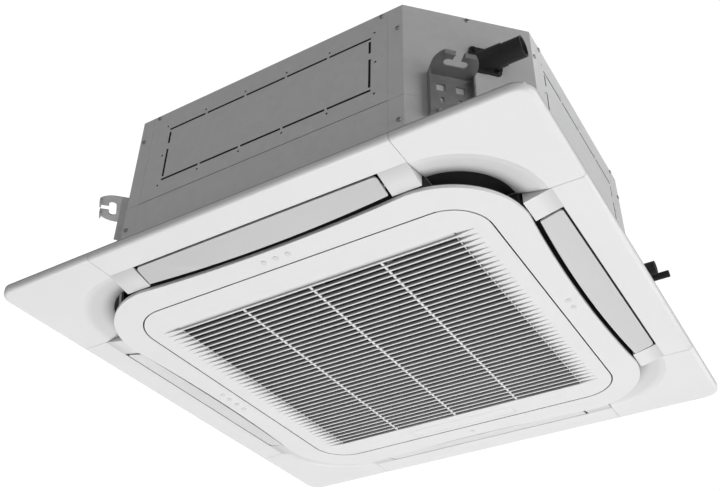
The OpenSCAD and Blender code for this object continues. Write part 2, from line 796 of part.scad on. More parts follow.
// ---- vanes ----
module vane(k) color("gainsboro") on_side(k) {
    intersection() {
        run(vane_len) polygon([[vane_out, vane_z(vane_out)], [inner_waist, vane_z(inner_waist)],
            [inner_waist, vane_z(inner_waist) + vane_t], [vane_out, vane_z(vane_out) + vane_t]]);
        translate([0, -waist_c, low_z - step_drop])
            cylinder(r = waist_R - vane_in_gap, h = 3 * step_drop, $fn = wide_fn);
        slab(low_z - step_drop, low_z + 2 * step_drop) translate([0, 4 * step_drop - vane_out])
            rrect(vane_len / 2, 4 * step_drop, vane_r);
    }
    arm_x = vane_len / 2 - vane_arm_t;
    for (m = ends) run(vane_arm_t, m * arm_x) {
        translate([vane_pivot_y, pivot_z]) circle(vane_arm_r);
        rect([vane_pivot_y - vane_arm_r, vane_z(vane_pivot_y) + vane_t / 2],
            [vane_pivot_y + vane_arm_r, pivot_z]);
    }
    translate([0, -vane_pivot_y, pivot_z]) rotate([0, 90, 0]) {
        translate([0, 0, arm_x]) cylinder(d = vane_pin_d, h = motor_x + vane_motor_len / 3 - arm_x);
        translate([0, 0, -vane_slot / 2 - panel_wall])
            cylinder(d = vane_pin_d, h = vane_slot / 2 + panel_wall - arm_x);
    }
}
module vane_motor(k) color("whitesmoke") on_side(k) difference() {
    union() {
        run(vane_motor_len, motor_x + vane_motor_len / 2)
            translate([vane_pivot_y, pivot_z + vane_motor_up]) circle(d = vane_motor_d);
        run(vane_motor_len / 2, motor_x + vane_motor_len / 4)
            translate([vane_pivot_y, pivot_z]) circle(d = vane_motor_d * gear_share);
    }
    run(vane_motor_len, motor_x) translate([vane_pivot_y, pivot_z]) circle(vane_pin_d / 2 + run_gap);
}

// ---- grille ----
module slot_rows(from) for (i = [from:slot_n - 1]) translate([0, -slot_last + i * slat_pitch]) children();
module grille() color("white") difference() {
    union() {
        slab(low_z, low_z + grille_t) rsq(grille_half, grille_r);
        slab(low_z, low_z + slat_depth)
            square([2 * (slot_half + ramp_len + slat_t), 2 * (slot_last + slat_pitch / 2)], center = true);
        slab(low_z, low_z + grille_t + grille_rim) difference() {
            rsq(grille_half, grille_r);
            rsq(grille_half - panel_wall, grille_r - panel_wall);
        }
        // Arms of the hinge, bent up over the edge of the opening
        for (m = ends) run(hinge_lug_w, m * hinge_x) {
            translate([hinge_y, hinge_z]) circle(lug_r);
            rect([hinge_y - lug_r, hinge_z], [hinge_y + lug_r, arm_top]);
            rect([grille_half - panel_wall, arm_in_z], [hinge_y + lug_r, arm_top]);
            rect([grille_half - panel_wall, low_z + grille_t / 2], [grille_half, arm_top]);
        }
        // Ears of the release bar
        for (m = ends) translate([0, 0, 0]) rotate([0, 0, 180])
            run(latch_ear_t, m * (latch_len / 2 + latch_gap + latch_ear_t / 2))
                rect([latch_y - latch_gap, low_z + grille_t / 2],
                    [latch_axis_y + grille_t, latch_axis_z + grille_t]);
        // Clips that hold the filter
        for (k = sides, m = ends) on_side(k) run(hook_w / 2, m * filter_half * 2 / 3) {
            rect([filter_half + fit_gap, low_z + grille_t / 2],
                [filter_half + fit_gap + panel_wall, filter_z + filter_t + fit_gap + panel_wall]);
            rect([filter_half - filter_edge / 3, filter_z + filter_t + fit_gap],
                [filter_half + fit_gap + panel_wall, filter_z + filter_t + fit_gap + panel_wall]);
        }
    }
    slab(low_z - over, low_z + rib_back) slot_rows(1) square([2 * slot_half, slot_w], center = true);
    slab(low_z - over, low_z + slat_depth + over) slot_rows(1)
        for (b = [0:bay_n - 1]) translate([(b + 1 / 2) * bay_w - slot_half, 0])
            square([bay_w - rib_t, slot_w], center = true);
    // The first slot is only a sloping groove
    run(2 * slot_half) polygon([[slot_last + slot_w / 2, low_z - over], [slot_last + slot_w / 2, low_z],
        [slot_last - slot_w / 2, low_z + slat_depth - rib_back], [slot_last - slot_w / 2, low_z - over]]);
    for (m = ends) mirror([m > 0 ? 0 : 1, 0, 0]) translate([slot_half + ramp_len, 0, low_z])
        rotate([0, ramp_a, 0]) translate([0, 0, -2 * slat_depth]) linear_extrude(2 * slat_depth)
            slot_rows(0) polygon([[0, 0], [-ramp_len - over, slot_w * ramp_share], [-ramp_len - over, -slot_w * ramp_share]]);
    // Window and pin holes of the release bar, and the notches of its hooks
    translate([-latch_len / 2 - latch_gap, latch_y - latch_gap, low_z - over])
        cube([latch_len + 2 * latch_gap, latch_w + 2 * latch_gap, grille_t + 2 * over]);
    translate([-latch_len / 2 - 2 * latch_ear_t, latch_axis_y, latch_axis_z]) rotate([0, 90, 0])
        cylinder(r = latch_pin_d / 2 + run_gap, h = latch_len + 4 * latch_ear_t);
    for (m = ends) box([m * hook_x - hook_w / 2 - latch_gap, grille_half - 2 * panel_wall, low_z + grille_t],
        [m * hook_x + hook_w / 2 + latch_gap, grille_half + over, low_z + grille_t + grille_rim + over]);
    for (m = ends) run(pin_len + 2 * over, m * hinge_x)
        translate([hinge_y, hinge_z]) circle(hinge_pin_d / 2 + run_gap);
}
module hinge_pins() color("silver") for (m = ends) run(pin_len, m * hinge_x)
    translate([hinge_y, hinge_z]) circle(d = hinge_pin_d);
module latch_bar() color("white") {
    box([-latch_len / 2, latch_y, low_z], [latch_len / 2, latch_y + latch_w, low_z + grille_t]);
    for (m = ends) translate([m * (latch_len / 2 - latch_ear_t / 2) - latch_ear_t / 2, latch_y, low_z])
        cube([latch_ear_t, 2 * grille_t, latch_axis_z + grille_t / 2 - low_z]);
    translate([-latch_len / 2 - latch_gap - latch_ear_t, latch_axis_y, latch_axis_z])
        rotate([0, 90, 0]) cylinder(d = latch_pin_d, h = latch_gap + 2 * latch_ear_t);
    translate([latch_len / 2 - latch_ear_t, latch_axis_y, latch_axis_z])
        rotate([0, 90, 0]) cylinder(d = latch_pin_d, h = latch_gap + 2 * latch_ear_t);
    for (m = ends) {
        y1 = latch_y + latch_w - 2 * grille_t;
        box([m * hook_x - hook_w / 2, y1, low_z + grille_t / 2], [m * hook_x + hook_w / 2, y1 + grille_t, hook_z]);
        box([m * hook_x - hook_w / 2, y1, hook_z - grille_t],
            [m * hook_x + hook_w / 2, grille_half + fit_gap, hook_z]);
    }
}
module filter_frame() color("slategray") slab(filter_z, filter_z + filter_t) {
    difference() {
        rsq(filter_half, filter_edge);
        rsq(filter_half - filter_edge, filter_edge / 2);
    }
    w = 2 * (filter_half - filter_edge) / filter_n;
    for (i = [1:filter_n - 1], s = [0, 1]) rotate(90 * s) translate([(i - filter_n / 2) * w, 0])
        square([filter_rib, 2 * filter_half - filter_edge], center = true);
}
module filter_net() color("gray") slab(filter_z + filter_t, filter_z + filter_t + net_t)
    rsq(filter_half - filter_edge / 2, filter_edge / 2);

// ---- casing ----
// Outline of the part of the casing that belongs to side k or corner k
module side_zone(k) on_side(k) rect([-flange_start((k + 3) % 4) + fit_gap / 2, -body_half - over],
    [flange_start(k) - fit_gap / 2, -body_half / 2]);
module corner_zone(k) on_side(k) rect([flange_start(k) + fit_gap / 2, -body_half - over],
    [body_half + over, -flange_start(k) - fit_gap / 2]);
module at_side_screws(k) on_side(k) {
    for (m = ends, z = [screw_low, screw_high]) {
        x = flange_start(m > 0 ? k : (k + 3) % 4) + flange_w - screw_in;
        translate([m * x, -body_half, body_bottom + z]) rotate([90, 0, 0]) children();
    }
    for (m = ends) {
        x = flange_start(m > 0 ? k : (k + 3) % 4);
        translate([m * min(top_screw_x, x - screw_head_d), -body_half, body_top - top_screw_down])
            rotate([90, 0, 0]) children();
    }
}
module at_corner_screw(k) on_corner(k) translate([face_n(k), 0, body_top - top_screw_down])
    rotate([0, 90, 0]) children();
module screw_hole() translate([0, 0, -3 * sheet]) cylinder(r = screw_d / 2 + screw_gap, h = 3 * sheet + over);
module joint_line() slab(body_bottom + joint_up, body_bottom + joint_up + joint_w) difference() {
    casing_outline(-over);
    casing_outline(joint_depth);
}
module top_plate() color("silver") difference() {
    union() {
        slab(foam_top, body_top) casing_outline(sheet + fit_gap);
        slab(body_top - skirt_h, body_top) difference() {
            casing_outline(sheet);
            casing_outline(2 * sheet);
        }
    }
    for (k = sides) {
        at_side_screws(k) screw_hole();
        at_corner_screw(k) screw_hole();
    }
}
module knock_out(n, shift) translate([shift, 0, body_bottom + ko_up]) {
    len = n * ko_pitch - ko_slot;
    for (z = [0, ko_h - ko_slot], i = [0:n - 1])
        translate([(i - n / 2) * ko_pitch + ko_slot / 2, -body_half - over, z])
            cube([ko_pitch - ko_slot, sheet + 2 * over, ko_slot]);
    for (m = ends, s = [[2 * ko_slot, (ko_h - 3 * ko_slot) * 2 / 3], [(ko_h - 3 * ko_slot) * 2 / 3 + 3 * ko_slot, ko_h - 2 * ko_slot]])
        translate([m * (len - ko_slot) / 2 - ko_slot / 2, -body_half - over, s[0]])
            cube([ko_slot, sheet + 2 * over, s[1] - s[0]]);
    for (z = [-ko_hole_out, ko_h + ko_hole_out], i = [0:n])
        translate([(i - n / 2) * (ko_pitch + ko_hole_out / n), over - body_half, z]) rotate([90, 0, 0])
            cylinder(d = ko_hole_d, h = 4 * over + sheet, center = true);
    for (m = ends) translate([m * (len / 2 + ko_hole_out), over - body_half, ko_h / 2]) rotate([90, 0, 0])
        cylinder(d = ko_hole_d, h = 4 * over + sheet, center = true);
}
module side_plate(k) color("lightgray") difference() {
    union() {
        slab(body_bottom, body_top) intersection() {
            side_zone(k);
            difference() {
                casing_outline(0);
                casing_outline(sheet);
            }
        }
        // Tabs behind the corner plates' flanges
        slab(body_bottom + sheet, body_top - skirt_h - fit_gap) for (m = ends) on_side(k) {
            x = flange_start(m > 0 ? k : (k + 3) % 4);
            mirror([m > 0 ? 0 : 1, 0]) {
                rect([x - tab_w / 3, sheet - body_half], [x + tab_w, 2 * sheet - body_half]);
                rect([x - tab_w / 3, sheet / 2 - body_half], [x - fit_gap / 2, 2 * sheet - body_half]);
            }
        }
    }
    at_side_screws(k) screw_hole();
    joint_line();
    // The right knock out is shorter, because of the pipe corner
    free = flange_start(k) - flange_start((k + 3) % 4);
    on_side(k) knock_out(k % 3 == 1 || k == 2 ? ko_right_n : ko_n, k == 0 || k == 3 ? ko_slot * 1.2 : free / 2);
}
module corner_plate(k) color("lightgray") {
    nf = face_n(k);
    difference() {
        slab(body_bottom, body_top) intersection() {
            corner_zone(k);
            difference() {
                casing_outline(0);
                casing_outline(sheet);
            }
        }
        at_side_screws(k) screw_hole();
        at_side_screws((k + 1) % 4) screw_hole();
        at_corner_screw(k) screw_hole();
        joint_line();
        if (k == 0) on_corner(0) translate([nf - over, port_u, port_z]) rotate([0, 90, 0])
            cylinder(r = spigot_d / 2 + pipe_gap, h = 3 * over, center = true);
        if (k == 1) pipe_holes();
        at_bracket_bolts(k) translate([0, 0, -sheet]) cylinder(r = screw_d / 2 + screw_gap, h = 2 * sheet);
    }
    // Lug that the panel is screwed to, and the ledge that carries the drain pan
    on_corner(k) {
        slab(body_bottom, pan_z) difference() {
            rect([nf - ledge_w, -lug_w / 2], [lug_reach, lug_w / 2]);
            translate([panel_screw_n, 0]) circle(panel_screw_d / 2 + screw_gap);
        }
        translate([panel_screw_n, 0, body_bottom])
            tube(panel_head_d * 3 / 4, panel_screw_d / 2 + screw_gap, 4 * sheet);
    }
}
module pipe_holes() for (p = [[gas_y, gas_d], [liquid_y, liquid_d]])
    translate([0, p[0], pipe_z]) rotate([0, 90, 0]) cylinder(r = p[1] / 2 + pipe_gap, h = body_half);
module at_bracket_bolts(k) on_corner(k)
    translate([face_n(k), hang_side_u(k), hang_z - hang_plate_h + hang_side]) rotate([0, 90, 0])
        for (m = ends) translate([0, m * hang_w / 4, 0]) children();
module casing_screws() color("silver") for (k = sides) {
    at_side_screws(k) casing_screw();
    at_corner_screw(k) casing_screw();
}
module casing_screw() {
    cylinder(d = screw_head_d, h = screw_head_h);
    translate([0, 0, -2 * sheet]) cylinder(d = screw_d, h = 2 * sheet + screw_head_h / 2);
}
module bracket_bolts() color("silver") for (k = sides) at_bracket_bolts(k) {
    translate([0, 0, hang_t]) cylinder(d = hang_bolt_d, h = screw_head_h, $fn = 6);
    translate([0, 0, -sheet]) cylinder(d = screw_d, h = hang_t + sheet + screw_head_h / 2);
}
module hanger_bracket(k) color("gray") on_corner(k) translate([0, hang_side_u(k), 0]) {
    nf = face_n(k);
    tab_end = hang_n + hang_end;
    hw = hang_w / 2;
    // Tab with the hanging slot, open at its outer edge
    slab(hang_z, hang_z + hang_t) difference() {
        intersection() {
            union() {
                rect([nf, -hw], [tab_end - hw * 3 / 4, hw]);
                translate([tab_end - hw * 3 / 4, 0]) circle(hw);
            }
            rect([nf, -hang_w], [tab_end, hang_w]);
        }
        for (m = ends) translate([hang_n, m * (hang_slot_len - hang_slot) / 2]) circle(d = hang_slot);
        translate([hang_n, 0]) square([hang_slot, hang_slot_len - hang_slot], center = true);
        rect([hang_n, -hang_slot / 2], [tab_end + over, hang_slot / 2]);
    }
    for (m = ends) mirror([0, m > 0 ? 0 : 1, 0]) {
        box([tab_end - hang_t, hang_slot / 2 + hang_t / 2, hang_z - hang_lip],
            [tab_end, hw * 2 / 3, hang_z + hang_t / 2]);
        // Side flange of the upright plate, and the rib under the arm
        box([nf, hw - hang_t, hang_z - hang_plate_h], [nf + hang_side, hw, hang_z + hang_t / 2]);
        if (nf < hang_n - 2 * hang_side - hw)
            box([nf, hw - hang_t, hang_z - hang_side], [hang_n - hang_end, hw, hang_z + hang_t / 2]);
    }
    difference() {
        box([nf, -hw, hang_z - hang_plate_h], [nf + hang_t, hw, hang_z + hang_t]);
        for (m = ends) translate([nf - over, m * hang_window * 1.1 - hang_window / 2, hang_z - hang_side - hang_window * 4 / 3])
            cube([hang_t + 2 * over, hang_window, hang_window]);
        for (m = ends) translate([nf - over, m * hang_window, hang_z - hang_plate_h / 2 - hang_slot / 2])
            rotate([0, 90, 0]) linear_extrude(hang_t + 2 * over) {
                for (s = ends) translate([s * hang_slot / 5, 0]) circle(hang_slot / 4);
                square([hang_slot * 2 / 5, hang_slot / 2], center = true);
            }
        for (m = ends) translate([nf - over, m * hang_w / 4, hang_z - hang_plate_h + hang_side])
            rotate([0, 90, 0]) cylinder(r = screw_d / 2 + screw_gap, h = hang_t + 2 * over);
    }
}

// ---- insulation, coil and drain pan ----
module foam_liner() color("white") difference() {
    union() {
        slab(pan_top, foam_low) difference() {
            casing_outline(inner_skin);
            casing_outline(foam_in);
        }
        slab(foam_low, foam_top) casing_outline(inner_skin);
    }
    for (a = sides) rotate(90 * a + 45) translate([stud_r, 0, foam_low - over])
        cylinder(r = spacer_d / 2 + fit_gap, h = foam_top_t + 2 * over);
    on_corner(0) translate([face_n(0) - foam_in - over, port_u, port_z]) rotate([0, 90, 0])
        cylinder(r = spigot_d / 2 + hose_wall + fit_gap, h = foam_in + 2 * over);
    pipe_holes();
}
module coil_ring(e) intersection() {
    difference() {
        rsq(coil_half + e, coil_r + e);
        rsq(coil_in - e, coil_r - coil_t - e);
    }
    union() {
        rect([-body_half, -body_half], [body_half, coil_end]);
        rect([-body_half, -body_half], [coil_end, body_half]);
    }
}
module coil_fins() color("silver") slab(trough_z, foam_low) coil_ring(0);
module coil_end_plates() color("lightgray") for (s = [0, 1]) mirror([s, -s]) slab(trough_z, foam_low)
    rect([coil_in - end_over, coil_end], [coil_half + end_over, coil_end + end_t]);
module coil_tubes() color("peru") {
    mid = coil_half - coil_t / 2;
    // Return bends at both ends of the coil
    for (s = [0, 1], i = [0:bend_n - 1]) mirror([s, -s])
        translate([mid, coil_end + end_t, trough_z + coil_row * (i + 3 / 4)])
            rotate_extrude(angle = 180) translate([coil_col / 2, 0]) circle(d = coil_tube_d);
    // Headers beside the bends on the back leg
    for (h = [[gas_header_d, coil_in - end_over + gas_header_d / 2 - coil_tube_d], [liquid_header_d, coil_half + end_over / 2]])
        difference() {
            translate([coil_end + end_t + header_out, h[1], trough_z + 2 * coil_row])
                cylinder(d = h[0], h = coil_row * (bend_n - 2));
            if (h[0] == gas_header_d) translate([coil_end + end_t + header_out, 0, pipe_z])
                rotate([-90, 0, 0]) cylinder(d = gas_d, h = h[1]);
            else translate([coil_end + end_t + header_out, h[1], pipe_z])
                rotate([0, 90, 0]) cylinder(d = liquid_d, h = h[0]);
        }
    for (i = [2, bend_n - 2]) translate([coil_end + end_t, gas_header_y(), trough_z + coil_row * (i + 1 / 4) + coil_tube_d / 2])
        rotate([0, 90, 0]) cylinder(d = coil_tube_d, h = header_out - gas_header_d / 4);
    for (i = [2, bend_n - 2]) translate([coil_end + end_t, coil_half + end_over / 2, trough_z + coil_row * (i + 1 / 4) + coil_tube_d / 2])
        rotate([0, 90, 0]) cylinder(d = coil_tube_d / 2, h = header_out - liquid_header_d / 4);
}
function gas_header_y() = coil_in - end_over + gas_header_d / 2 - coil_tube_d;
module sump() on_corner(0) translate([pump_n, (port_u - float_u) / 2])
    rrect(pump_d / 2 + play(), (port_u + float_u) / 2 + pump_d / 2 + play(), pump_d / 4);
function play() = trough_play / 2;
module drain_pan() color("dimgray") difference() {
    slab(pan_z, pan_top) difference() {
        casing_outline(inner_skin);
        rsq(pan_open, pan_open_r);
    }
    slab(trough_z, pan_top + over) {
        difference() {
            rsq(coil_half + trough_play, coil_r + trough_play);
            rsq(coil_in - trough_play, coil_r - coil_t - trough_play);
        }
        intersection() {
            sump();
            casing_outline(foam_in);
        }
    }
    // Air outlets at the sides, and at the three corners that are not cut deep
    slab(pan_z - over, pan_top + over) intersection() {
        for (k = sides) on_side(k) rect([-vane_slot / 2, -pan_out_out], [vane_slot / 2, -pan_out_in]);
        casing_outline(body_half - pan_out_out);
    }
    slab(pan_z - over, pan_top + over) for (k = [2, 3]) intersection() {
        pocket(k, 0);
        on_side(k) translate([corner_c, -corner_c]) circle(inner_r);
        casing_outline(foam_in);
    }
}

// ---- fan and motor ----
module bell_mouth() color("dimgray") {
    slab(bell_z, bell_z + fan_t) difference() {
        rsq(pan_open - fit_gap, pan_open_r);
        circle(throat_r + bell_curve);
    }
    rotate_extrude() {
        intersection() {
            translate([throat_r + bell_curve, bell_z + bell_curve]) difference() {
                circle(bell_curve);
                circle(bell_curve - fan_t);
            }
            rect([throat_r, bell_z], [throat_r + bell_curve, bell_z + bell_curve]);
        }
        rect([throat_r, bell_z + bell_curve], [throat_r + fan_t, bell_top]);
        rect([throat_r + bell_curve, bell_z], [throat_r + bell_curve + fan_t, bell_z + fan_t]);
    }
}
// Half section of the air passage of the fan wheel, above its shroud
module fan_passage() difference() {
    rect([blade_in_r, fan_low_z - shroud_curve / 2], [fan_d / 2 - fan_t / 2, fan_back_z + fan_t / 2]);
    rect([shroud_r, shroud_z - over], [shroud_r + shroud_curve, fan_low_z - shroud_curve]);
    translate([shroud_r + shroud_curve, shroud_z]) circle(shroud_curve - fan_t / 2);
    rect([shroud_r + shroud_curve, shroud_z - over], [fan_d / 2, fan_low_z - fan_t / 2]);
}
module fan_wheel() color("dimgray") difference() {
    union() {
        rotate_extrude() {
            rect([cup_r, fan_back_z], [fan_d / 2, fan_back_z + fan_t]);
            rect([cup_r, cup_z], [cup_r + fan_t, fan_back_z + fan_t]);
            rect([0, cup_z], [cup_r + fan_t, cup_z + fan_t]);
            rect([0, hub_z], [hub_d / 2, cup_z + fan_t]);
            // Shroud: straight ring, inlet curve and flat rim
            rect([shroud_r, shroud_z - shroud_ring], [shroud_r + fan_t, shroud_z]);
            intersection() {
                translate([shroud_r + shroud_curve, shroud_z]) difference() {
                    circle(shroud_curve);
                    circle(shroud_curve - fan_t);
                }
                rect([shroud_r, shroud_z], [shroud_r + shroud_curve, fan_low_z]);
            }
            rect([shroud_r + shroud_curve, fan_low_z - fan_t], [fan_d / 2, fan_low_z]);
        }
        intersection() {
            rotate_extrude() fan_passage();
            slab(bell_top, fan_back_z + fan_t) for (i = [0:blade_n - 1]) rotate(360 * i / blade_n)
                intersection() {
                    translate([blade_centre, 0]) difference() {
                        circle(blade_curve + fan_t / 2);
                        circle(blade_curve - fan_t / 2);
                    }
                    rect([-fan_d / 2, fan_t], [fan_d / 2, fan_d / 2]);
                }
        }
    }
    translate([0, 0, hub_z - over]) cylinder(r = shaft_d / 2 + run_gap, h = hub_h + fan_t + 2 * over);
}
module motor_shaft() color("silver") translate([0, 0, hub_z - hub_h]) cylinder(d = shaft_d, h = motor_low_z + motor_h * 3 / 4 - hub_z + hub_h);
module fan_nut() color("silver") translate([0, 0, hub_z - hub_h * 3 / 4]) difference() {
    cylinder(d = hub_d * 3 / 4, h = hub_h * 3 / 4, $fn = 6);
    translate([0, 0, -over]) cylinder(r = shaft_d / 2 + run_gap, h = hub_h + 2 * over);
}
module fan_motor() color("gray") difference() {
    union() {
        translate([0, 0, motor_low_z]) cylinder(d = motor_d, h = motor_h);
        translate([0, 0, motor_low_z - ear_t]) cylinder(d = hub_d, h = ear_t + over);
        slab(motor_top_z - ear_t, motor_top_z) {
            circle(d = motor_d);
            for (a = sides) rotate(90 * a + 45) {
                rect([0, -damper_d / 2], [stud_r, damper_d / 2]);
                translate([stud_r, 0]) circle(d = damper_d);
            }
        }
    }
    translate([0, 0, motor_low_z - ear_t - over])
        cylinder(r = shaft_d / 2 + run_gap, h = motor_h * 3 / 4 + ear_t + 2 * over);
    for (a = sides) rotate(90 * a + 45) translate([stud_r, 0, motor_top_z - ear_t - over])
        cylinder(r = stud_d / 2 + screw_gap, h = ear_t + 2 * over);
}
module motor_studs() color("silver") for (a = sides) rotate(90 * a + 45) translate([stud_r, 0, 0]) {
    translate([0, 0, motor_top_z - 2 * ear_t]) cylinder(d = spacer_d, h = ear_t, $fn = 6);
    translate([0, 0, motor_top_z - 2 * ear_t - over]) cylinder(d = stud_d, h = foam_top - motor_top_z + 2 * ear_t + over);
    translate([0, 0, motor_top_z + damper_h]) cylinder(d = spacer_d, h = foam_top - motor_top_z - damper_h);
}
module motor_dampers() color("dimgray") for (a = sides) rotate(90 * a + 45)
    translate([stud_r, 0, motor_top_z]) tube(damper_d / 2, stud_d / 2 + screw_gap, damper_h);

// ---- control box ----
module control_box() color("silver") difference() {
    box([-box_len / 2, box_y - box_w / 2, bell_z - box_h], [box_len / 2, box_y + box_w / 2, bell_z]);
    box([box_t - box_len / 2, box_y - box_w / 2 + box_t, bell_z - box_h - over],
        [box_len / 2 - box_t, box_y + box_w / 2 - box_t, bell_z - box_t]);
}
module control_box_cover() color("lightgray") {
    box([-box_len / 2, box_y - box_w / 2, bell_z - box_h - box_t], [box_len / 2, box_y + box_w / 2, bell_z - box_h]);
    for (m = ends) box([m * box_len / 2 - box_w / 8 + m * box_w / 8, box_y - box_w / 6, bell_z - box_h - box_t],
        [m * box_len / 2 + box_w / 8 + m * box_w / 8, box_y + box_w / 6, bell_z - box_h]);
}

// ---- drain pump, drain port and pipes ----
module drain_pump() color("white") on_corner(0) translate([pump_n, port_u, trough_z]) {
    cylinder(d = pump_low_d, h = pump_low_h);
    translate([0, 0, pump_low_h - over]) cylinder(d = pump_d, h = pump_motor_h + over);
    translate([0, 0, pump_low_h + pump_motor_h - over])
        tube(spigot_d / 2, spigot_d / 2 - spigot_wall, port_z - hose_bend - trough_z - pump_low_h - pump_motor_h);
    // Arm that carries the pump on the liner
    box([0, -pump_low_d / 4, pump_low_h], [face_n(0) - foam_in - pump_n, pump_low_d / 4, pump_low_h + pump_low_d / 4]);
}
module float_switch() color("white") on_corner(0) translate([pump_n, -float_u, trough_z]) {
    cylinder(d = float_d / 3, h = float_h);
    translate([0, 0, float_d / 3]) cylinder(d = float_d, h = float_d / 2);
    translate([0, 0, float_h - float_d / 3]) cylinder(d = float_d * 2 / 3, h = float_d / 3);
}
module drain_hose() color("dimgray") on_corner(0) {
    r0 = spigot_d / 2 + run_gap;
    r1 = spigot_d / 2 + hose_wall;
    n_bend = pump_n + hose_bend;
    low = trough_z + pump_low_h + pump_motor_h;
    translate([pump_n, port_u, low]) tube(r1, r0, port_z - hose_bend - low);
    translate([n_bend, port_u, port_z - hose_bend]) rotate([90, 0, 180])
        rotate_extrude(angle = 90) translate([hose_bend, 0]) difference() {
            circle(r1);
            circle(r0);
        }
    translate([n_bend, port_u, port_z]) rotate([0, 90, 0]) tube(r1, r0, face_n(0) - spigot_len / 4 - n_bend);
}
module drain_port() color("dimgray") difference() {
    union() {
        on_corner(0) translate([face_n(0), port_u, port_z]) {
            rotate([0, 90, 0]) linear_extrude(port_t) port_flange();
            translate([-spigot_len, 0, 0]) rotate([0, 90, 0]) cylinder(d = spigot_d, h = spigot_len + port_t / 2);
        }
        intersection() {
            at_drain_axis() {
                cylinder(d = drain_d, h = 2 * drain_d + drain_end - port_x());
                cylinder(d = drain_d + drain_wall, h = 2 * drain_d + drain_end - drain_free - port_x());
            }
            on_corner(0) box([face_n(0), -body_half, 0], [body_half + drain_end, body_half, body_top + drain_d]);
        }
    }
    intersection() {
        at_drain_axis() cylinder(d = drain_d - 2 * drain_wall, h = 3 * drain_d + drain_end - port_x());
        on_corner(0) box([face_n(0) + port_t / 2, -body_half, 0], [body_half + drain_end, body_half, body_top + drain_d]);
    }
    on_corner(0) translate([face_n(0) - spigot_len - over, port_u, port_z]) rotate([0, 90, 0])
        cylinder(d = spigot_d - 2 * spigot_wall, h = spigot_len + port_t + over);
    at_port_screws() translate([0, 0, -over]) cylinder(r = screw_d / 2 + screw_gap, h = port_t + 2 * over);
}
function port_x() = (face_n(0) + port_u) / root2;
module at_drain_axis() translate([port_x() - 2 * drain_d, (port_u - face_n(0)) / root2, port_z])
    rotate([0, 90, 0]) children();
module port_flange() {
    rrect(drain_d * 0.55, drain_d * 0.78, drain_d / 7);
    for (m = ends) translate([-m * drain_d * 0.6, -m * drain_d * 0.53]) {
        circle(screw_head_d * 0.9);
        translate([m * screw_head_d / 2, 0]) square([screw_head_d, screw_head_d * 1.8], center = true);
    }
}
module at_port_screws() on_corner(0) translate([face_n(0), port_u, port_z]) rotate([0, 90, 0])
    for (m = ends) translate([-m * drain_d * 0.6, -m * drain_d * 0.53, 0]) children();
module drain_port_screws() color("silver") at_port_screws() {
    translate([0, 0, port_t]) cylinder(d = screw_head_d, h = screw_head_h);
    cylinder(d = screw_d, h = port_t + screw_head_h / 2);
}
header_x = coil_end + end_t + header_out;
// Pipe along the route out of the pipe corner
module quarter_bend(d, r) rotate_extrude(angle = 90) translate([r, 0]) circle(d = d);
module gas_pipe() color("peru") translate([0, 0, pipe_z]) {
    translate([header_x, gas_y + gas_bend, 0]) rotate([-90, 0, 0])
        cylinder(d = gas_d, h = gas_header_y() - gas_header_d / 2 - gas_y - gas_bend + gas_header_d / 4);
    translate([header_x + gas_bend, gas_y + gas_bend, 0]) rotate([0, 0, 180]) quarter_bend(gas_d, gas_bend);
    translate([header_x + gas_bend, gas_y, 0]) rotate([0, 90, 0])
        cylinder(d = gas_d, h = gas_end - sleeve_wall - header_x - gas_bend);
}
module liquid_pipe() color("peru") translate([0, 0, pipe_z]) {
    y0 = coil_half + end_over / 2;
    x0 = header_x + liquid_header_d / 2;
    translate([header_x + liquid_header_d / 4, y0, 0]) rotate([0, 90, 0])
        cylinder(d = liquid_d, h = x0 - header_x - liquid_header_d / 4);
    translate([x0, y0 - liquid_bend, 0]) quarter_bend(liquid_d, liquid_bend);
    translate([x0 + liquid_bend, liquid_y + liquid_bend, 0]) rotate([-90, 0, 0])
        cylinder(d = liquid_d, h = y0 - 2 * liquid_bend - liquid_y);
    translate([x0 + 2 * liquid_bend, liquid_y + liquid_bend, 0]) rotate([0, 0, 180])
        quarter_bend(liquid_d, liquid_bend);
    translate([x0 + 2 * liquid_bend, liquid_y, 0]) rotate([0, 90, 0])
        cylinder(d = liquid_d, h = liquid_end - sleeve_wall - x0 - 2 * liquid_bend);
}
module pipe_sleeves() color("dimgray")
    for (p = [[gas_y, gas_d, sleeve_wall, gas_end], [liquid_y, liquid_d, liquid_sleeve_wall, liquid_end]]) {
        x0 = 2 * body_half - pipe_cut_leg - p[0] + p[1] / 2 + p[2] + fit_gap;
        translate([x0, p[0], pipe_z]) rotate([0, 90, 0]) difference() {
            cylinder(r = p[1] / 2 + p[2], h = p[3] - x0);
            translate([0, 0, -over]) cylinder(r = p[1] / 2 + run_gap, h = p[3] - sleeve_wall - x0 + over);
        }
    }

panel_frame();
corner_cover(0);  // corner_cover_near
corner_cover(1);  // corner_cover_pipe
corner_cover(2);  // corner_cover_far
corner_cover(3);  // corner_cover_left
inner_frame();
outlet_duct();
panel_gasket();
panel_screws();
vane(0);  // vane_front
vane(1);  // vane_right
vane(2);  // vane_back
vane(3);  // vane_left
vane_motor(0);  // vane_motor_front
vane_motor(1);  // vane_motor_right
vane_motor(2);  // vane_motor_back
vane_motor(3);  // vane_motor_left
grille();
latch_bar();
filter_frame();
filter_net();
hinge_pins();
top_plate();
side_plate(0);  // side_plate_front
side_plate(1);  // side_plate_right
side_plate(2);  // side_plate_back
side_plate(3);  // side_plate_left
corner_plate(0);  // corner_plate_near
corner_plate(1);  // corner_plate_pipe
corner_plate(2);  // corner_plate_far
corner_plate(3);  // corner_plate_left
hanger_bracket(0);  // hanger_bracket_near
hanger_bracket(1);  // hanger_bracket_pipe
hanger_bracket(2);  // hanger_bracket_far
hanger_bracket(3);  // hanger_bracket_left
casing_screws();
bracket_bolts();
foam_liner();
coil_fins();
coil_end_plates();
coil_tubes();
drain_pan();
bell_mouth();
fan_wheel();
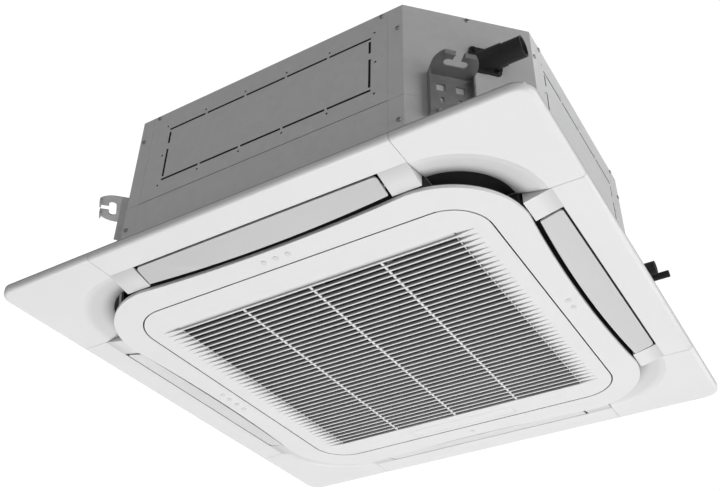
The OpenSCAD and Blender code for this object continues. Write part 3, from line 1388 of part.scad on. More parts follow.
motor_shaft();
fan_nut();
fan_motor();
motor_studs();
motor_dampers();
control_box();
control_box_cover();
drain_pump();
float_switch();
drain_hose();
drain_port();
drain_port_screws();
gas_pipe();
liquid_pipe();
pipe_sleeves();
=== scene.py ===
import math

import bmesh
import bpy
from mathutils import Matrix, Vector


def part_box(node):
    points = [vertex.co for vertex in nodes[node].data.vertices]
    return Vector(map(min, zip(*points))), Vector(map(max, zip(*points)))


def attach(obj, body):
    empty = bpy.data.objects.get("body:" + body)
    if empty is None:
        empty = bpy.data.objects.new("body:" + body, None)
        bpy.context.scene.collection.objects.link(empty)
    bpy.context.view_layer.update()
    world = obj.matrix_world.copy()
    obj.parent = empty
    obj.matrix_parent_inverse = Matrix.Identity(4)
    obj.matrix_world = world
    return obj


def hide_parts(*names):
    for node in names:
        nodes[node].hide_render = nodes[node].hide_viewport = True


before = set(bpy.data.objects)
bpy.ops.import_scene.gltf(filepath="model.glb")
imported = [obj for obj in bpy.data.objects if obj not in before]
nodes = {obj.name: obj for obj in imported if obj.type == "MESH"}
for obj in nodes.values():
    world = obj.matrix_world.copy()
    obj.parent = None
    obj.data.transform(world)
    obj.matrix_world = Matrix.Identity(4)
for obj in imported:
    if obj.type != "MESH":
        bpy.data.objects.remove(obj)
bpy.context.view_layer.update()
mm = 0.001
sideNames = ["front", "right", "back", "left"]
cornerNames = ["near", "pipe", "far", "left"]
print("frame loaded:", len(nodes), "nodes")

# Camera and light

camera = {
    # Below the unit and in front of it to the right, solved from the photograph
    "place": (0.7263, -1.2681, -0.8745),
    "looksAlong": (-0.4023, 0.6946, 0.5963),
    "lens": 46.9,
    "sensorWidth": 36.0,
    "shift": (-0.0339, 0.0051),
    "nearest": 0.05,
}
cameraData = bpy.data.cameras.new("studioCamera")
cameraData.lens = camera["lens"]
cameraData.sensor_width = camera["sensorWidth"]
cameraData.sensor_fit = "HORIZONTAL"
cameraData.shift_x, cameraData.shift_y = camera["shift"]
cameraData.clip_start = camera["nearest"]
cameraObject = bpy.data.objects.new("studioCamera", cameraData)
cameraObject.location = camera["place"]
cameraObject.rotation_euler = Vector(camera["looksAlong"]).to_track_quat("-Z", "Y").to_euler()
bpy.context.scene.collection.objects.link(cameraObject)
bpy.context.scene.camera = cameraObject

lamps = {
    # name: (place, aimed at, size, watts)
    "rightBank": ((3.0, 0.1, -0.2), (0.0, 0.0, 0.1), 2.6, 56),
    "underBank": ((-0.15, 0.40, -2.25), (0.0, 0.1, 0.0), 3.0, 48),
    "frontFill": ((-0.9, -3.4, 0.9), (0.0, 0.0, 0.1), 2.4, 6.5),
    "backBank": ((-1.6, 3.0, 1.2), (0.0, 0.0, 0.1), 2.2, 26),
    "topBank": ((-0.5, 1.7, 3.0), (-0.2, 0.5, 0.0), 2.6, 95),
    "leftBank": ((-3.2, 1.0, -0.9), (0.0, 0.1, 0.0), 2.0, 9),
}
for lampName, (place, aim, size, watts) in lamps.items():
    lampData = bpy.data.lights.new(lampName, "AREA")
    lampData.shape = "SQUARE"
    lampData.size = size
    lampData.energy = watts
    lamp = bpy.data.objects.new(lampName, lampData)
    lamp.visible_camera = False
    lamp.location = place
    lamp.rotation_euler = (Vector(aim) - Vector(place)).to_track_quat("-Z", "Y").to_euler()
    bpy.context.scene.collection.objects.link(lamp)

studio = {
    "floorHeight": -2.4, "floorSize": 26.0, "floorLift": 0.24,
    "skyStrength": 0.24, "backdrop": 1.05,
}
world = bpy.data.worlds.new("studioWorld")
bpy.context.scene.world = world
world.use_nodes = True
worldTree = world.node_tree
worldTree.nodes.clear()
worldOut = worldTree.nodes.new("ShaderNodeOutputWorld")
worldMix = worldTree.nodes.new("ShaderNodeMixShader")
seen = worldTree.nodes.new("ShaderNodeBackground")
seen.inputs["Color"].default_value = (1, 1, 1, 1)
seen.inputs["Strength"].default_value = studio["backdrop"]
sky = worldTree.nodes.new("ShaderNodeBackground")
sky.inputs["Color"].default_value = (1, 1, 1, 1)
sky.inputs["Strength"].default_value = studio["skyStrength"]
rays = worldTree.nodes.new("ShaderNodeLightPath")
worldTree.links.new(rays.outputs["Is Camera Ray"], worldMix.inputs["Fac"])
worldTree.links.new(sky.outputs["Background"], worldMix.inputs[1])
worldTree.links.new(seen.outputs["Background"], worldMix.inputs[2])
worldTree.links.new(worldMix.outputs["Shader"], worldOut.inputs["Surface"])
bpy.context.scene.view_settings.view_transform = "Standard"
print("camera, lamps and sky set")

# Materials

def startMaterial(name, colour, rough, metal=0.0):
    material = bpy.data.materials.new(name)
    material.use_nodes = True
    tree = material.node_tree
    shader = tree.nodes["Principled BSDF"]
    shader.inputs["Base Color"].default_value = (*colour, 1)
    shader.inputs["Roughness"].default_value = rough
    shader.inputs["Metallic"].default_value = metal
    return material, tree, shader


def objectCoords(tree, stretch=(1, 1, 1)):
    coords = tree.nodes.new("ShaderNodeTexCoord")
    mapping = tree.nodes.new("ShaderNodeMapping")
    mapping.inputs["Scale"].default_value = stretch
    tree.links.new(coords.outputs["Object"], mapping.inputs["Vector"])
    return mapping.outputs["Vector"]


def addNoise(tree, vector, scale, detail=3.0, rough=0.55):
    noise = tree.nodes.new("ShaderNodeTexNoise")
    noise.inputs["Scale"].default_value = scale
    noise.inputs["Detail"].default_value = detail
    noise.inputs["Roughness"].default_value = rough
    tree.links.new(vector, noise.inputs["Vector"])
    return noise.outputs["Fac"]


def spread(tree, value, stops):
    # stops: list of (position, colour)
    ramp = tree.nodes.new("ShaderNodeValToRGB")
    ramp.color_ramp.elements[0].position = stops[0][0]
    ramp.color_ramp.elements[0].color = (*stops[0][1], 1)
    ramp.color_ramp.elements[1].position = stops[-1][0]
    ramp.color_ramp.elements[1].color = (*stops[-1][1], 1)
    for place, colour in stops[1:-1]:
        ramp.color_ramp.elements.new(place).color = (*colour, 1)
    tree.links.new(value, ramp.inputs["Fac"])
    return ramp.outputs["Color"]


def remap(tree, value, low, high):
    change = tree.nodes.new("ShaderNodeMapRange")
    change.inputs["To Min"].default_value = low
    change.inputs["To Max"].default_value = high
    tree.links.new(value, change.inputs["Value"])
    return change.outputs["Result"]


def addBump(tree, shader, height, strength, distance, under=None):
    bump = tree.nodes.new("ShaderNodeBump")
    bump.inputs["Strength"].default_value = strength
    bump.inputs["Distance"].default_value = distance
    tree.links.new(height, bump.inputs["Height"])
    if under is not None:
        tree.links.new(under, bump.inputs["Normal"])
    tree.links.new(bump.outputs["Normal"], shader.inputs["Normal"])
    return bump.outputs["Normal"]


def shade(colour, amount):
    return tuple(max(0.0, min(1.0, part * amount)) for part in colour)


plasticLook = {
    "patchScale": 5.5, "patchDetail": 4.0, "patchStops": (0.3, 0.7),
    "glossScale": 38.0, "glossDown": 0.05, "glossUp": 0.06, "coatRough": 0.25,
    "grainDetail": 2.0, "grainHeight": 0.2 * mm,
    "waveScale": 9.0, "waveDetail": 1.0, "waveDepth": 0.05, "waveHeight": 2 * mm,
}


def mouldedPlastic(name, colour, rough, grain, grainDepth, cloud=0.02, coat=0.0):
    # grain is the scale of the mould's fine texture, cloud the change of tone over the piece
    look = plasticLook
    material, tree, shader = startMaterial(name, colour, rough)
    shader.inputs["Coat Weight"].default_value = coat
    shader.inputs["Coat Roughness"].default_value = look["coatRough"]
    vector = objectCoords(tree)
    patches = addNoise(tree, vector, look["patchScale"], look["patchDetail"])
    darkStop, paleStop = look["patchStops"]
    tone = spread(tree, patches, [(darkStop, shade(colour, 1 - cloud)), (paleStop, shade(colour, 1 + cloud))])
    tree.links.new(tone, shader.inputs["Base Color"])
    gloss = addNoise(tree, vector, look["glossScale"])
    gloss = remap(tree, gloss, rough - look["glossDown"], rough + look["glossUp"])
    tree.links.new(gloss, shader.inputs["Roughness"])
    fine = addNoise(tree, vector, grain, look["grainDetail"])
    wave = addNoise(tree, vector, look["waveScale"], look["waveDetail"])
    soft = addBump(tree, shader, wave, look["waveDepth"], look["waveHeight"])
    addBump(tree, shader, fine, grainDepth, look["grainHeight"], soft)
    return material


# Painted shade: a dark tone mixed into the base colour where shade falls in gaps, slots and recesses
paintedShadeLook = {
    "shadeTone": (0.012, 0.012, 0.012, 1),
    "reachEdge": 0.2 * mm, "alongEdge": 1 * mm,
    # Between these values of a face's normal the painted shade comes or goes
    "faceUp": (0.3, 0.6), "faceDown": (-0.985, -0.93), "faceCut": (0.3, 0.4),
}
# In mm: beyond the whole unit, and heights so low that a painted shade is full at every height of the unit
beyond = 1000.0
everyHeight = (-1000.0, -900.0)


def shadeBand(start, full, depth, near=-beyond, far=beyond, end=beyond):
    # Places in mm: the painted shade starts at height start and is full at height full,
    # between the reaches near and far from the middle, and up to end along the side
    return start * mm, full * mm, near * mm, far * mm, end * mm, depth


def paintGapShade(material, shadeBands, bareFloor=False, cutFace=0.0):
    # Paints shade into the base colour: the painted shade lies on walls inside a gap, never on faces that
    # look up, nor straight down with bareFloor cutFace is the painted shade of the faces that stand at 45
    # degrees across a corner
    look = paintedShadeLook
    tree = material.node_tree
    shader = tree.nodes["Principled BSDF"]
    tone = shader.inputs["Base Color"].links[0].from_socket
    coords = tree.nodes.new("ShaderNodeTexCoord")
    split = tree.nodes.new("ShaderNodeSeparateXYZ")
    tree.links.new(coords.outputs["Object"], split.inputs["Vector"])
    faceSplit = tree.nodes.new("ShaderNodeSeparateXYZ")
    tree.links.new(coords.outputs["Normal"], faceSplit.inputs["Vector"])

    def calculate(operation, first, second=None):
        node = tree.nodes.new("ShaderNodeMath")
        node.operation = operation
        tree.links.new(first, node.inputs[0])
        if second is not None:
            if hasattr(second, "node"):
                tree.links.new(second, node.inputs[1])
            else:
                node.inputs[1].default_value = second
        return node.outputs["Value"]

    def fade(value, low, high, start=0.0, end=1.0):
        change = tree.nodes.new("ShaderNodeMapRange")
        change.inputs["From Min"].default_value = low
        change.inputs["From Max"].default_value = high
        change.inputs["To Min"].default_value = start
        change.inputs["To Max"].default_value = end
        tree.links.new(value, change.inputs["Value"])
        return change.outputs["Result"]

    wide = calculate("ABSOLUTE", split.outputs["X"])
    deep = calculate("ABSOLUTE", split.outputs["Y"])
    reach = calculate("MAXIMUM", wide, deep)
    along = calculate("MINIMUM", wide, deep)
    looksDown = fade(faceSplit.outputs["Z"], *look["faceUp"], 1.0, 0.0)
    if bareFloor:
        looksDown = calculate("MULTIPLY", looksDown, fade(faceSplit.outputs["Z"], *look["faceDown"]))
    slant = calculate("MULTIPLY", faceSplit.outputs["X"], faceSplit.outputs["Y"])
    slant = calculate("ABSOLUTE", slant)
    shadeShare = fade(slant, *look["faceCut"], 0.0, cutFace)
    reachEdge, alongEdge = look["reachEdge"], look["alongEdge"]
    for start, full, near, far, end, depth in shadeBands:
        shadeMask = calculate("MULTIPLY", fade(split.outputs["Z"], start, full, 0.0, depth), looksDown)
        shadeMask = calculate("MULTIPLY", shadeMask, fade(reach, near - reachEdge, near + reachEdge))
        shadeMask = calculate("MULTIPLY", shadeMask, fade(reach, far - reachEdge, far + reachEdge, 1.0, 0.0))
        shadeMask = calculate("MULTIPLY", shadeMask, fade(along, end - alongEdge, end + alongEdge, 1.0, 0.0))
        shadeShare = calculate("MAXIMUM", shadeShare, shadeMask)
    # Of a colour mix, input 0 is the share, 6 and 7 the colours, and output 2 the result
    mix = tree.nodes.new("ShaderNodeMix")
    mix.data_type = "RGBA"
    tree.links.new(shadeShare, mix.inputs[0])
    tree.links.new(tone, mix.inputs[6])
    mix.inputs[7].default_value = look["shadeTone"]
    tree.links.new(mix.outputs[2], shader.inputs["Base Color"])
    return material


steelLook = {
    "flakeScale": 70.0, "flakeStops": (0.1, 0.9), "glossDown": 0.04, "glossUp": 0.05,
    "waveScale": 3.2, "waveDetail": 1.5, "waveDepth": 0.08, "waveHeight": 4 * mm,
    "lineStretch": (6, 6, 700), "lineScale": 1.0, "lineDetail": 2.0,
    "lineDepth": 0.06, "lineHeight": 0.2 * mm,
}


def sheetSteel(name, colour, rough, metal, spangle=0.05):
    # Galvanised sheet: large faint spangle, fine drawing lines and a slightly uneven face
    look = steelLook
    material, tree, shader = startMaterial(name, colour, rough, metal)
    vector = objectCoords(tree)
    flakes = tree.nodes.new("ShaderNodeTexVoronoi")
    flakes.inputs["Scale"].default_value = look["flakeScale"]
    tree.links.new(vector, flakes.inputs["Vector"])
    grey = tree.nodes.new("ShaderNodeRGBToBW")
    tree.links.new(flakes.outputs["Color"], grey.inputs["Color"])
    darkStop, paleStop = look["flakeStops"]
    stops = [(darkStop, shade(colour, 1 - spangle)), (paleStop, shade(colour, 1 + spangle))]
    tree.links.new(spread(tree, grey.outputs["Val"], stops), shader.inputs["Base Color"])
    gloss = remap(tree, grey.outputs["Val"], rough - look["glossDown"], rough + look["glossUp"])
    tree.links.new(gloss, shader.inputs["Roughness"])
    wave = addNoise(tree, vector, look["waveScale"], look["waveDetail"])
    wavy = addBump(tree, shader, wave, look["waveDepth"], look["waveHeight"])
    drawn = addNoise(tree, objectCoords(tree, look["lineStretch"]), look["lineScale"], look["lineDetail"])
    addBump(tree, shader, drawn, look["lineDepth"], look["lineHeight"], wavy)
    return material


foamLook = {"rough": 0.85, "cellMiddle": (0.0, 1.04), "cellEdge": (0.8, 0.86), "cellHeight": 0.6 * mm}


def foamMaterial(name, colour, cellScale, depth):
    # Foam of round cells, a little darker where they meet
    look = foamLook
    material, tree, shader = startMaterial(name, colour, look["rough"])
    vector = objectCoords(tree)
    cells = tree.nodes.new("ShaderNodeTexVoronoi")
    cells.inputs["Scale"].default_value = cellScale
    tree.links.new(vector, cells.inputs["Vector"])
    stops = [(stop, shade(colour, amount)) for stop, amount in (look["cellMiddle"], look["cellEdge"])]
    tree.links.new(spread(tree, cells.outputs["Distance"], stops), shader.inputs["Base Color"])
    addBump(tree, shader, cells.outputs["Distance"], depth, look["cellHeight"])
    return material


metalLook = {
    "tintScale": 60.0, "tintStops": (0.3, 0.7), "glossScale": 140.0, "glossDown": 0.06, "glossUp": 0.08,
    "lineScale": 260.0, "lineHeight": 0.2 * mm,
}


def metalFinish(name, colour, rough, lines=(1, 1, 1), depth=0.08, tint=0.05):
    # lines stretches the turning marks along one axis
    look = metalLook
    material, tree, shader = startMaterial(name, colour, rough, 1.0)
    vector = objectCoords(tree)
    darkStop, paleStop = look["tintStops"]
    stops = [(darkStop, shade(colour, 1 - tint)), (paleStop, shade(colour, 1 + tint))]
    tone = spread(tree, addNoise(tree, vector, look["tintScale"]), stops)
    tree.links.new(tone, shader.inputs["Base Color"])
    gloss = addNoise(tree, vector, look["glossScale"])
    gloss = remap(tree, gloss, rough - look["glossDown"], rough + look["glossUp"])
    tree.links.new(gloss, shader.inputs["Roughness"])
    marks = addNoise(tree, objectCoords(tree, lines), look["lineScale"])
    addBump(tree, shader, marks, depth, look["lineHeight"])
    return material


panelFinish = {"rough": 0.36, "grain": 900.0, "grainDepth": 0.05, "cloud": 0.012, "coat": 0.12}
vaneFinish = {"rough": 0.38, "grain": 900.0, "grainDepth": 0.05, "cloud": 0.012, "coat": 0.08}
panelWhite = (0.79, 0.79, 0.79)
casingGrey = (0.70, 0.70, 0.705)
casingFinish = {"rough": 0.42, "metal": 0.1, "spangle": 0.025}

whitePanel = mouldedPlastic("whitePanelPlastic", panelWhite, **panelFinish)
# Painted shade on the walls of the outlet slots, inside the rim and along its upper edge
shadedFramePlastic = paintGapShade(mouldedPlastic("shadedFramePlastic", panelWhite, **panelFinish), [
    shadeBand(-12.8, -10.0, 0.97, far=422.8, end=270.0),  # walls of the outlet slots
    shadeBand(-20.0, -2.0, 0.62, far=422.8),              # everything higher up inside the rim
    shadeBand(-13.1, -15.0, 0.05, far=421.5),             # a breath of shade below the slots
    shadeBand(-3.5, -0.8, 0.55, near=468.0),              # upper edge of the rim
])
# Painted shade on the scoops and along the rim's upper edge
shadedCoverPlastic = paintGapShade(mouldedPlastic("shadedCoverPlastic", panelWhite, **panelFinish), [
    shadeBand(-13.0, -10.5, 0.13, far=460.0),             # foot of the scoop
    shadeBand(-11.0, -1.0, 0.34, far=460.0),              # the scoop's wall
    shadeBand(-3.5, -0.8, 0.55, near=468.0),              # upper edge of the rim
])
# Painted shade on the wall round the grille and on the ring's lowest faces
shadedRingPlastic = paintGapShade(mouldedPlastic("shadedRingPlastic", panelWhite, **panelFinish), [
    shadeBand(-28.9, -28.3, 0.97, far=325.6),             # wall round the grille
    shadeBand(-29.05, -29.2, 0.12),                       # the ring's lowest face
])
# Painted shade on the grille's outer edge in the gap to the ring and on the slots' walls
shadedGrillePlastic = paintGapShade(mouldedPlastic("shadedGrillePlastic", panelWhite, **panelFinish), [
    shadeBand(-28.9, -28.4, 0.97, near=321.6),            # outer edge, in the gap to the ring
    shadeBand(-28.8, -23.5, 0.92, far=321.6),             # walls of the slots
], bareFloor=True)
# Lit and shaded copies of one plastic: painted shade on the front and right vanes, painted light on the left
# and back vanes
vanePlastic = mouldedPlastic("vanePlastic", (0.60, 0.60, 0.605), **vaneFinish)
paleVanePlastic = mouldedPlastic("paleVanePlastic", (0.76, 0.76, 0.765), **vaneFinish)
pumpPlastic = mouldedPlastic("pumpPlastic", (0.70, 0.70, 0.68), rough=0.45, grain=700.0, grainDepth=0.08)
blackPlastic = mouldedPlastic("blackPlastic", (0.011, 0.011, 0.012),
                              rough=0.48, grain=800.0, grainDepth=0.14, cloud=0.12)
ductPlastic = mouldedPlastic("ductPlastic", (0.035, 0.035, 0.037),
                             rough=0.55, grain=700.0, grainDepth=0.14, cloud=0.1)
panPlastic = mouldedPlastic("panPlastic", (0.06, 0.06, 0.063),
                            rough=0.6, grain=500.0, grainDepth=0.16, cloud=0.1)
filterPlastic = mouldedPlastic("filterPlastic", (0.05, 0.055, 0.06),
                               rough=0.5, grain=700.0, grainDepth=0.1, cloud=0.08)
netPlastic = mouldedPlastic("netPlastic", (0.035, 0.037, 0.04),
                            rough=0.7, grain=900.0, grainDepth=0.2, cloud=0.1)
casingSteel = sheetSteel("casingSteel", casingGrey, **casingFinish)
# Painted shade on the walls of the knock-outs' slots, which lie between these reaches
slotShadedSideSteel = paintGapShade(sheetSteel("slotShadedSideSteel", casingGrey, **casingFinish),
                       [shadeBand(*everyHeight, 0.93, near=405.0, far=419.6)])
# Painted shade on the faces cut at 45 degrees across the corner
shadedCornerSteel = paintGapShade(sheetSteel("shadedCornerSteel", casingGrey, **casingFinish), [], cutFace=0.24)
# Lit and shaded copies of one steel: painted shade on the near bracket, painted light on the others
shadedBracketSteel = sheetSteel("shadedBracketSteel", (0.29, 0.29, 0.295), rough=0.4, metal=0.5, spangle=0.08)
litBracketSteel = sheetSteel("litBracketSteel", (0.74, 0.74, 0.745), rough=0.4, metal=0.3, spangle=0.05)
motorSteel = sheetSteel("motorSteel", (0.42, 0.42, 0.43), rough=0.38, metal=0.8, spangle=0.04)
screwSteel = metalFinish("screwSteel", (0.42, 0.42, 0.43), rough=0.36)
blackScrew = metalFinish("blackScrew", (0.05, 0.05, 0.052), rough=0.4)
shaftSteel = metalFinish("shaftSteel", (0.62, 0.62, 0.63), rough=0.28, lines=(1, 1, 12))
finMetal = metalFinish("finMetal", (0.78, 0.79, 0.80), rough=0.32)
copperTube = metalFinish("copperTube", (0.83, 0.42, 0.26), rough=0.3, depth=0.06, tint=0.12)
# Painted shade on the liner's outer face, which lies behind the side plates' openings
whiteFoamShadedOutside = paintGapShade(foamMaterial("whiteFoamShadedOutside", (0.84, 0.84, 0.82), cellScale=260.0, depth=0.35),
                       [shadeBand(*everyHeight, 0.97, near=416.5)])
darkFoam = foamMaterial("darkFoam", (0.035, 0.035, 0.037), cellScale=420.0, depth=0.5)
sleeveFoam = foamMaterial("sleeveFoam", (0.016, 0.016, 0.017), cellScale=520.0, depth=0.45)
softRubber = mouldedPlastic("softRubber", (0.018, 0.018, 0.018),
                            rough=0.7, grain=600.0, grainDepth=0.18, cloud=0.1)

finishOf = {
    "panel_frame": shadedFramePlastic, "inner_frame": shadedRingPlastic, "grille": shadedGrillePlastic,
    "latch_bar": whitePanel, "outlet_duct": ductPlastic, "panel_gasket": darkFoam,
    "panel_screws": screwSteel, "hinge_pins": shaftSteel, "filter_frame": filterPlastic,
    "filter_net": netPlastic, "top_plate": casingSteel, "casing_screws": screwSteel,
    "bracket_bolts": screwSteel, "foam_liner": whiteFoamShadedOutside, "coil_fins": finMetal,
    "coil_end_plates": motorSteel, "coil_tubes": copperTube, "drain_pan": panPlastic,
    "bell_mouth": blackPlastic, "fan_wheel": blackPlastic, "motor_shaft": shaftSteel,
    "fan_nut": shaftSteel, "fan_motor": motorSteel, "motor_studs": screwSteel,
    "motor_dampers": softRubber, "control_box": motorSteel, "control_box_cover": casingSteel,
    "drain_pump": pumpPlastic, "float_switch": pumpPlastic, "drain_hose": softRubber,
    "drain_port": blackPlastic, "drain_port_screws": screwSteel, "gas_pipe": copperTube,
    "liquid_pipe": copperTube, "pipe_sleeves": sleeveFoam,
}
# The photograph shows the front and right vanes and the near bracket darker than the others
# The vanes and the brackets get lit and shaded copies of one material, as painted light and shade
for side in sideNames:
    finishOf["vane_" + side] = vanePlastic if side in ("front", "right") else paleVanePlastic
    finishOf["vane_motor_" + side] = pumpPlastic
    finishOf["side_plate_" + side] = slotShadedSideSteel
for corner in cornerNames:
    finishOf["corner_cover_" + corner] = shadedCoverPlastic
    finishOf["corner_plate_" + corner] = shadedCornerSteel
    finishOf["hanger_bracket_" + corner] = shadedBracketSteel if corner == "near" else litBracketSteel
for nodeName, material in finishOf.items():
    mesh = nodes[nodeName].data
    mesh.materials.clear()
    mesh.materials.append(material)
print("materials set on", len(finishOf), "nodes")

# Softened edges on the mouldings and the sheet metal

weldReach = 0.01 * mm
softEdge = {"segments": 2, "sharpestAngle": 38}
edgeRadius = {
    # in mm
    "panel_frame": 0.5, "inner_frame": 0.9, "grille": 0.35, "latch_bar": 0.5, "drain_port": 0.6,
    "control_box_cover": 0.3, "bell_mouth": 0.4, "top_plate": 0.3,
}
for side in sideNames:
    edgeRadius["vane_" + side] = 0.7
for corner in cornerNames:
    edgeRadius["corner_cover_" + corner] = 0.4
    edgeRadius["hanger_bracket_" + corner] = 0.4


def softenEdges(piece, radius):
    weld = piece.modifiers.new("weld", "WELD")
    weld.merge_threshold = weldReach
    bevel = piece.modifiers.new("softEdges", "BEVEL")
    bevel.width = radius * mm
    bevel.segments = softEdge["segments"]
    bevel.limit_method = "ANGLE"
    bevel.angle_limit = math.radians(softEdge["sharpestAngle"])
    bevel.harden_normals = False
    bevel.use_clamp_overlap = True


for nodeName, radius in edgeRadius.items():
    softenEdges(nodes[nodeName], radius)
print("edges softened on", len(edgeRadius), "nodes")

# Screws and bolts: each CAD solid gives the place and the way that its head faces

sameFacing = 0.99


def middleOf(points):
    return sum(points, Vector()) / len(points)


def solidsOf(nodeName):
    work = bmesh.new()
    work.from_mesh(nodes[nodeName].data)
    bmesh.ops.remove_doubles(work, verts=work.verts, dist=weldReach)
    work.faces.index_update()
    taken = set()
    found = []
    for start in work.verts:
        if start in taken:
            continue
        taken.add(start)
        group, front = [start], [start]
        while front:
            for edge in front.pop().link_edges:
                for vert in edge.verts:
                    if vert not in taken:
                        taken.add(vert)
                        group.append(vert)
                        front.append(vert)
        faces = sorted({face for vert in group for face in vert.link_faces}, key=lambda face: face.index)
        points = [vert.co.copy() for vert in group]
        found.append((points, [(face.normal.copy(), face.calc_area()) for face in faces]))
    work.free()
    # Sorted by their middles, so that each run takes them in the same order
    found.sort(key=lambda solid: tuple(round(part, 5) for part in middleOf(solid[0])))
    return found


def headFrame(points, faces, outward):
    # The largest flat face of the solid is its head's end
    def flatArea(face):
        return sum(area for normal, area in faces if normal.dot(face[0]) > sameFacing)

    facing = max(faces, key=flatArea)[0]
    middle = middleOf(points)
    facing = facing if facing.dot(outward(middle)) > 0 else -facing
    reach = max(point.dot(facing) for point in points)
    low = min(point.dot(facing) for point in points)
    spokes = [point - middle for point in points]
    across = max((spoke - facing * spoke.dot(facing)).length for spoke in spokes)
    top = middle + facing * (reach - middle.dot(facing))
    return top, facing, across, reach - low


def lathe(work, profile, steps, place):
    # profile: list of (radius, height), closed on the axis at both ends
    rings = []
    for radius, height in profile:
        if radius == 0:
            rings.append([work.verts.new(place @ Vector((0, 0, height)))])
            continue
        ring = []
        for step in range(steps):
            angle = 2 * math.pi * step / steps
            spot = Vector((radius * math.cos(angle), radius * math.sin(angle), height))
            ring.append(work.verts.new(place @ spot))
        rings.append(ring)
    for below, above in zip(rings, rings[1:]):
        for step in range(steps):
            after = (step + 1) % steps
            corners = [below[step % len(below)], below[after % len(below)],
                       above[after % len(above)], above[step % len(above)]]
            work.faces.new(list(dict.fromkeys(corners)))


def addPiece(work, name, material, body, replaced, smooth=35):
    # smooth is the angle in degrees below which an edge is shaded round
    mesh = bpy.data.meshes.new(name)
    bmesh.ops.recalc_face_normals(work, faces=work.faces)
    work.to_mesh(mesh)
    work.free()
    for face in mesh.polygons:
        face.use_smooth = True
    mesh.set_sharp_from_angle(angle=math.radians(smooth))
    piece = bpy.data.objects.new(name, mesh)
    mesh.materials.append(material)
    bpy.context.scene.collection.objects.link(piece)
    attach(piece, body)
    if replaced:
        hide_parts(*replaced)


screwHead = {
    # Shares of the head's radius and height, from its foot to the flat top
    "outline": [(1.0, 0.0), (1.0, 0.45), (0.93, 0.72), (0.78, 0.94), (0.62, 1.0)],
    "crossReach": 0.52, "crossWidth": 0.15, "crossDepth": 0.6, "crossTaper": 0.8,
    "steps": 24,
    "height": 2.4 * mm, "heightShare": 0.4, "turn": 0.7,
}


def skin(work, below, above):
    # Closes the strip between two rings of the same number of points
    for step in range(len(below)):
        after = (step + 1) % len(below)
        work.faces.new([below[step], below[after], above[after], above[step]])


def crossHead(work, place, radius, height, shank, depth):
    # Pan head with a cross recess: the recess is walls round a plus-shaped floor
    def ringAt(outline, share, up):
        return [work.verts.new(place @ Vector((x * share, y * share, up))) for x, y in outline]

    part = screwHead
    steps = part["steps"]
    circle = [(math.cos(2 * math.pi * step / steps), math.sin(2 * math.pi * step / steps))
              for step in range(steps)]
    rings = [ringAt(circle, radius * share, height * up) for share, up in part["outline"]]
    for below, above in zip(rings, rings[1:]):
        skin(work, below, above)
    # Plus outline, counter-clockwise from the right arm
    arm, halfArm = part["crossReach"] * radius, part["crossWidth"] * radius
    plus = []
    for quarter in range(4):
        cosine, sine = math.cos(math.pi / 2 * quarter), math.sin(math.pi / 2 * quarter)
        for x, y in [(arm, -halfArm), (arm, halfArm), (halfArm, halfArm)]:
            plus.append((x * cosine - y * sine, x * sine + y * cosine))
    top = ringAt(plus, 1, height)
    floor = ringAt(plus, part["crossTaper"], height * (1 - part["crossDepth"]))
    rim = rings[-1]
    perPoint = steps // len(plus)
    for index in range(len(plus)):
        after = (index + 1) % len(plus)
        first = (index * perPoint - 1) % steps
        flat = [rim[(first + extra) % steps] for extra in range(perPoint + 1)]
        work.faces.new([top[index]] + flat + [top[after]])
        work.faces.new([top[index], top[after], floor[after], floor[index]])
    work.faces.new(floor)
    # Underside and shank
    neck = ringAt(circle, shank, 0)
    tip = ringAt(circle, shank, -depth)
    skin(work, rings[0], neck)
    skin(work, neck, tip)
    work.faces.new(tip)


def standOn(point, facing, turn):
    upright = facing.to_track_quat("Z", "Y").to_matrix().to_4x4()
    return Matrix.Translation(point) @ upright @ Matrix.Rotation(turn, 4, "Z")


def sideways(middle):
    return Vector((middle.x, middle.y, 0))


def downwards(middle):
    return Vector((0, 0, -1))


screwSets = {
    # node: (radius of the shank, which way the heads face, finish, whether a short screw has a lower head)
    "casing_screws": (1.7 * mm, sideways, screwSteel, False),
    "panel_screws": (2.3 * mm, downwards, screwSteel, True),
    "drain_port_screws": (1.7 * mm, sideways, blackScrew, True),
}
for nodeName, (shankRadius, outward, finish, lowerHead) in screwSets.items():
    work = bmesh.new()
    for index, (points, faces) in enumerate(solidsOf(nodeName)):
        top, facing, across, whole = headFrame(points, faces, outward)
        height = screwHead["height"]
        if lowerHead:
            height = min(height, screwHead["heightShare"] * whole)
        place = standOn(top - facing * height, facing, index * screwHead["turn"])
        crossHead(work, place, across, height, shankRadius, whole - height)
    addPiece(work, nodeName.replace("_", "") + "Cross", finish, "chassis", [nodeName])

# Squared flange plate of the drain port, over its two screwed ears

flangePlate = {
    "margin": 6.5 * mm, "corner": 4.5 * mm, "thick": 3.1 * mm, "edge": 0.7 * mm,
    "edgeBend": 0.3, "underHead": 2.3 * mm, "steps": 6,
}
ears = [headFrame(points, faces, sideways) for points, faces in solidsOf("drain_port_screws")]
facing = ears[0][1]
across = Vector((0, 0, 1)).cross(facing).normalized()
seats = [top - facing * flangePlate["underHead"] for top, _, _, _ in ears]
centre = middleOf(seats)
halfWide = max(abs((seat - centre).dot(across)) for seat in seats) + flangePlate["margin"]
halfHigh = max(abs((seat - centre).z) for seat in seats) + flangePlate["margin"]
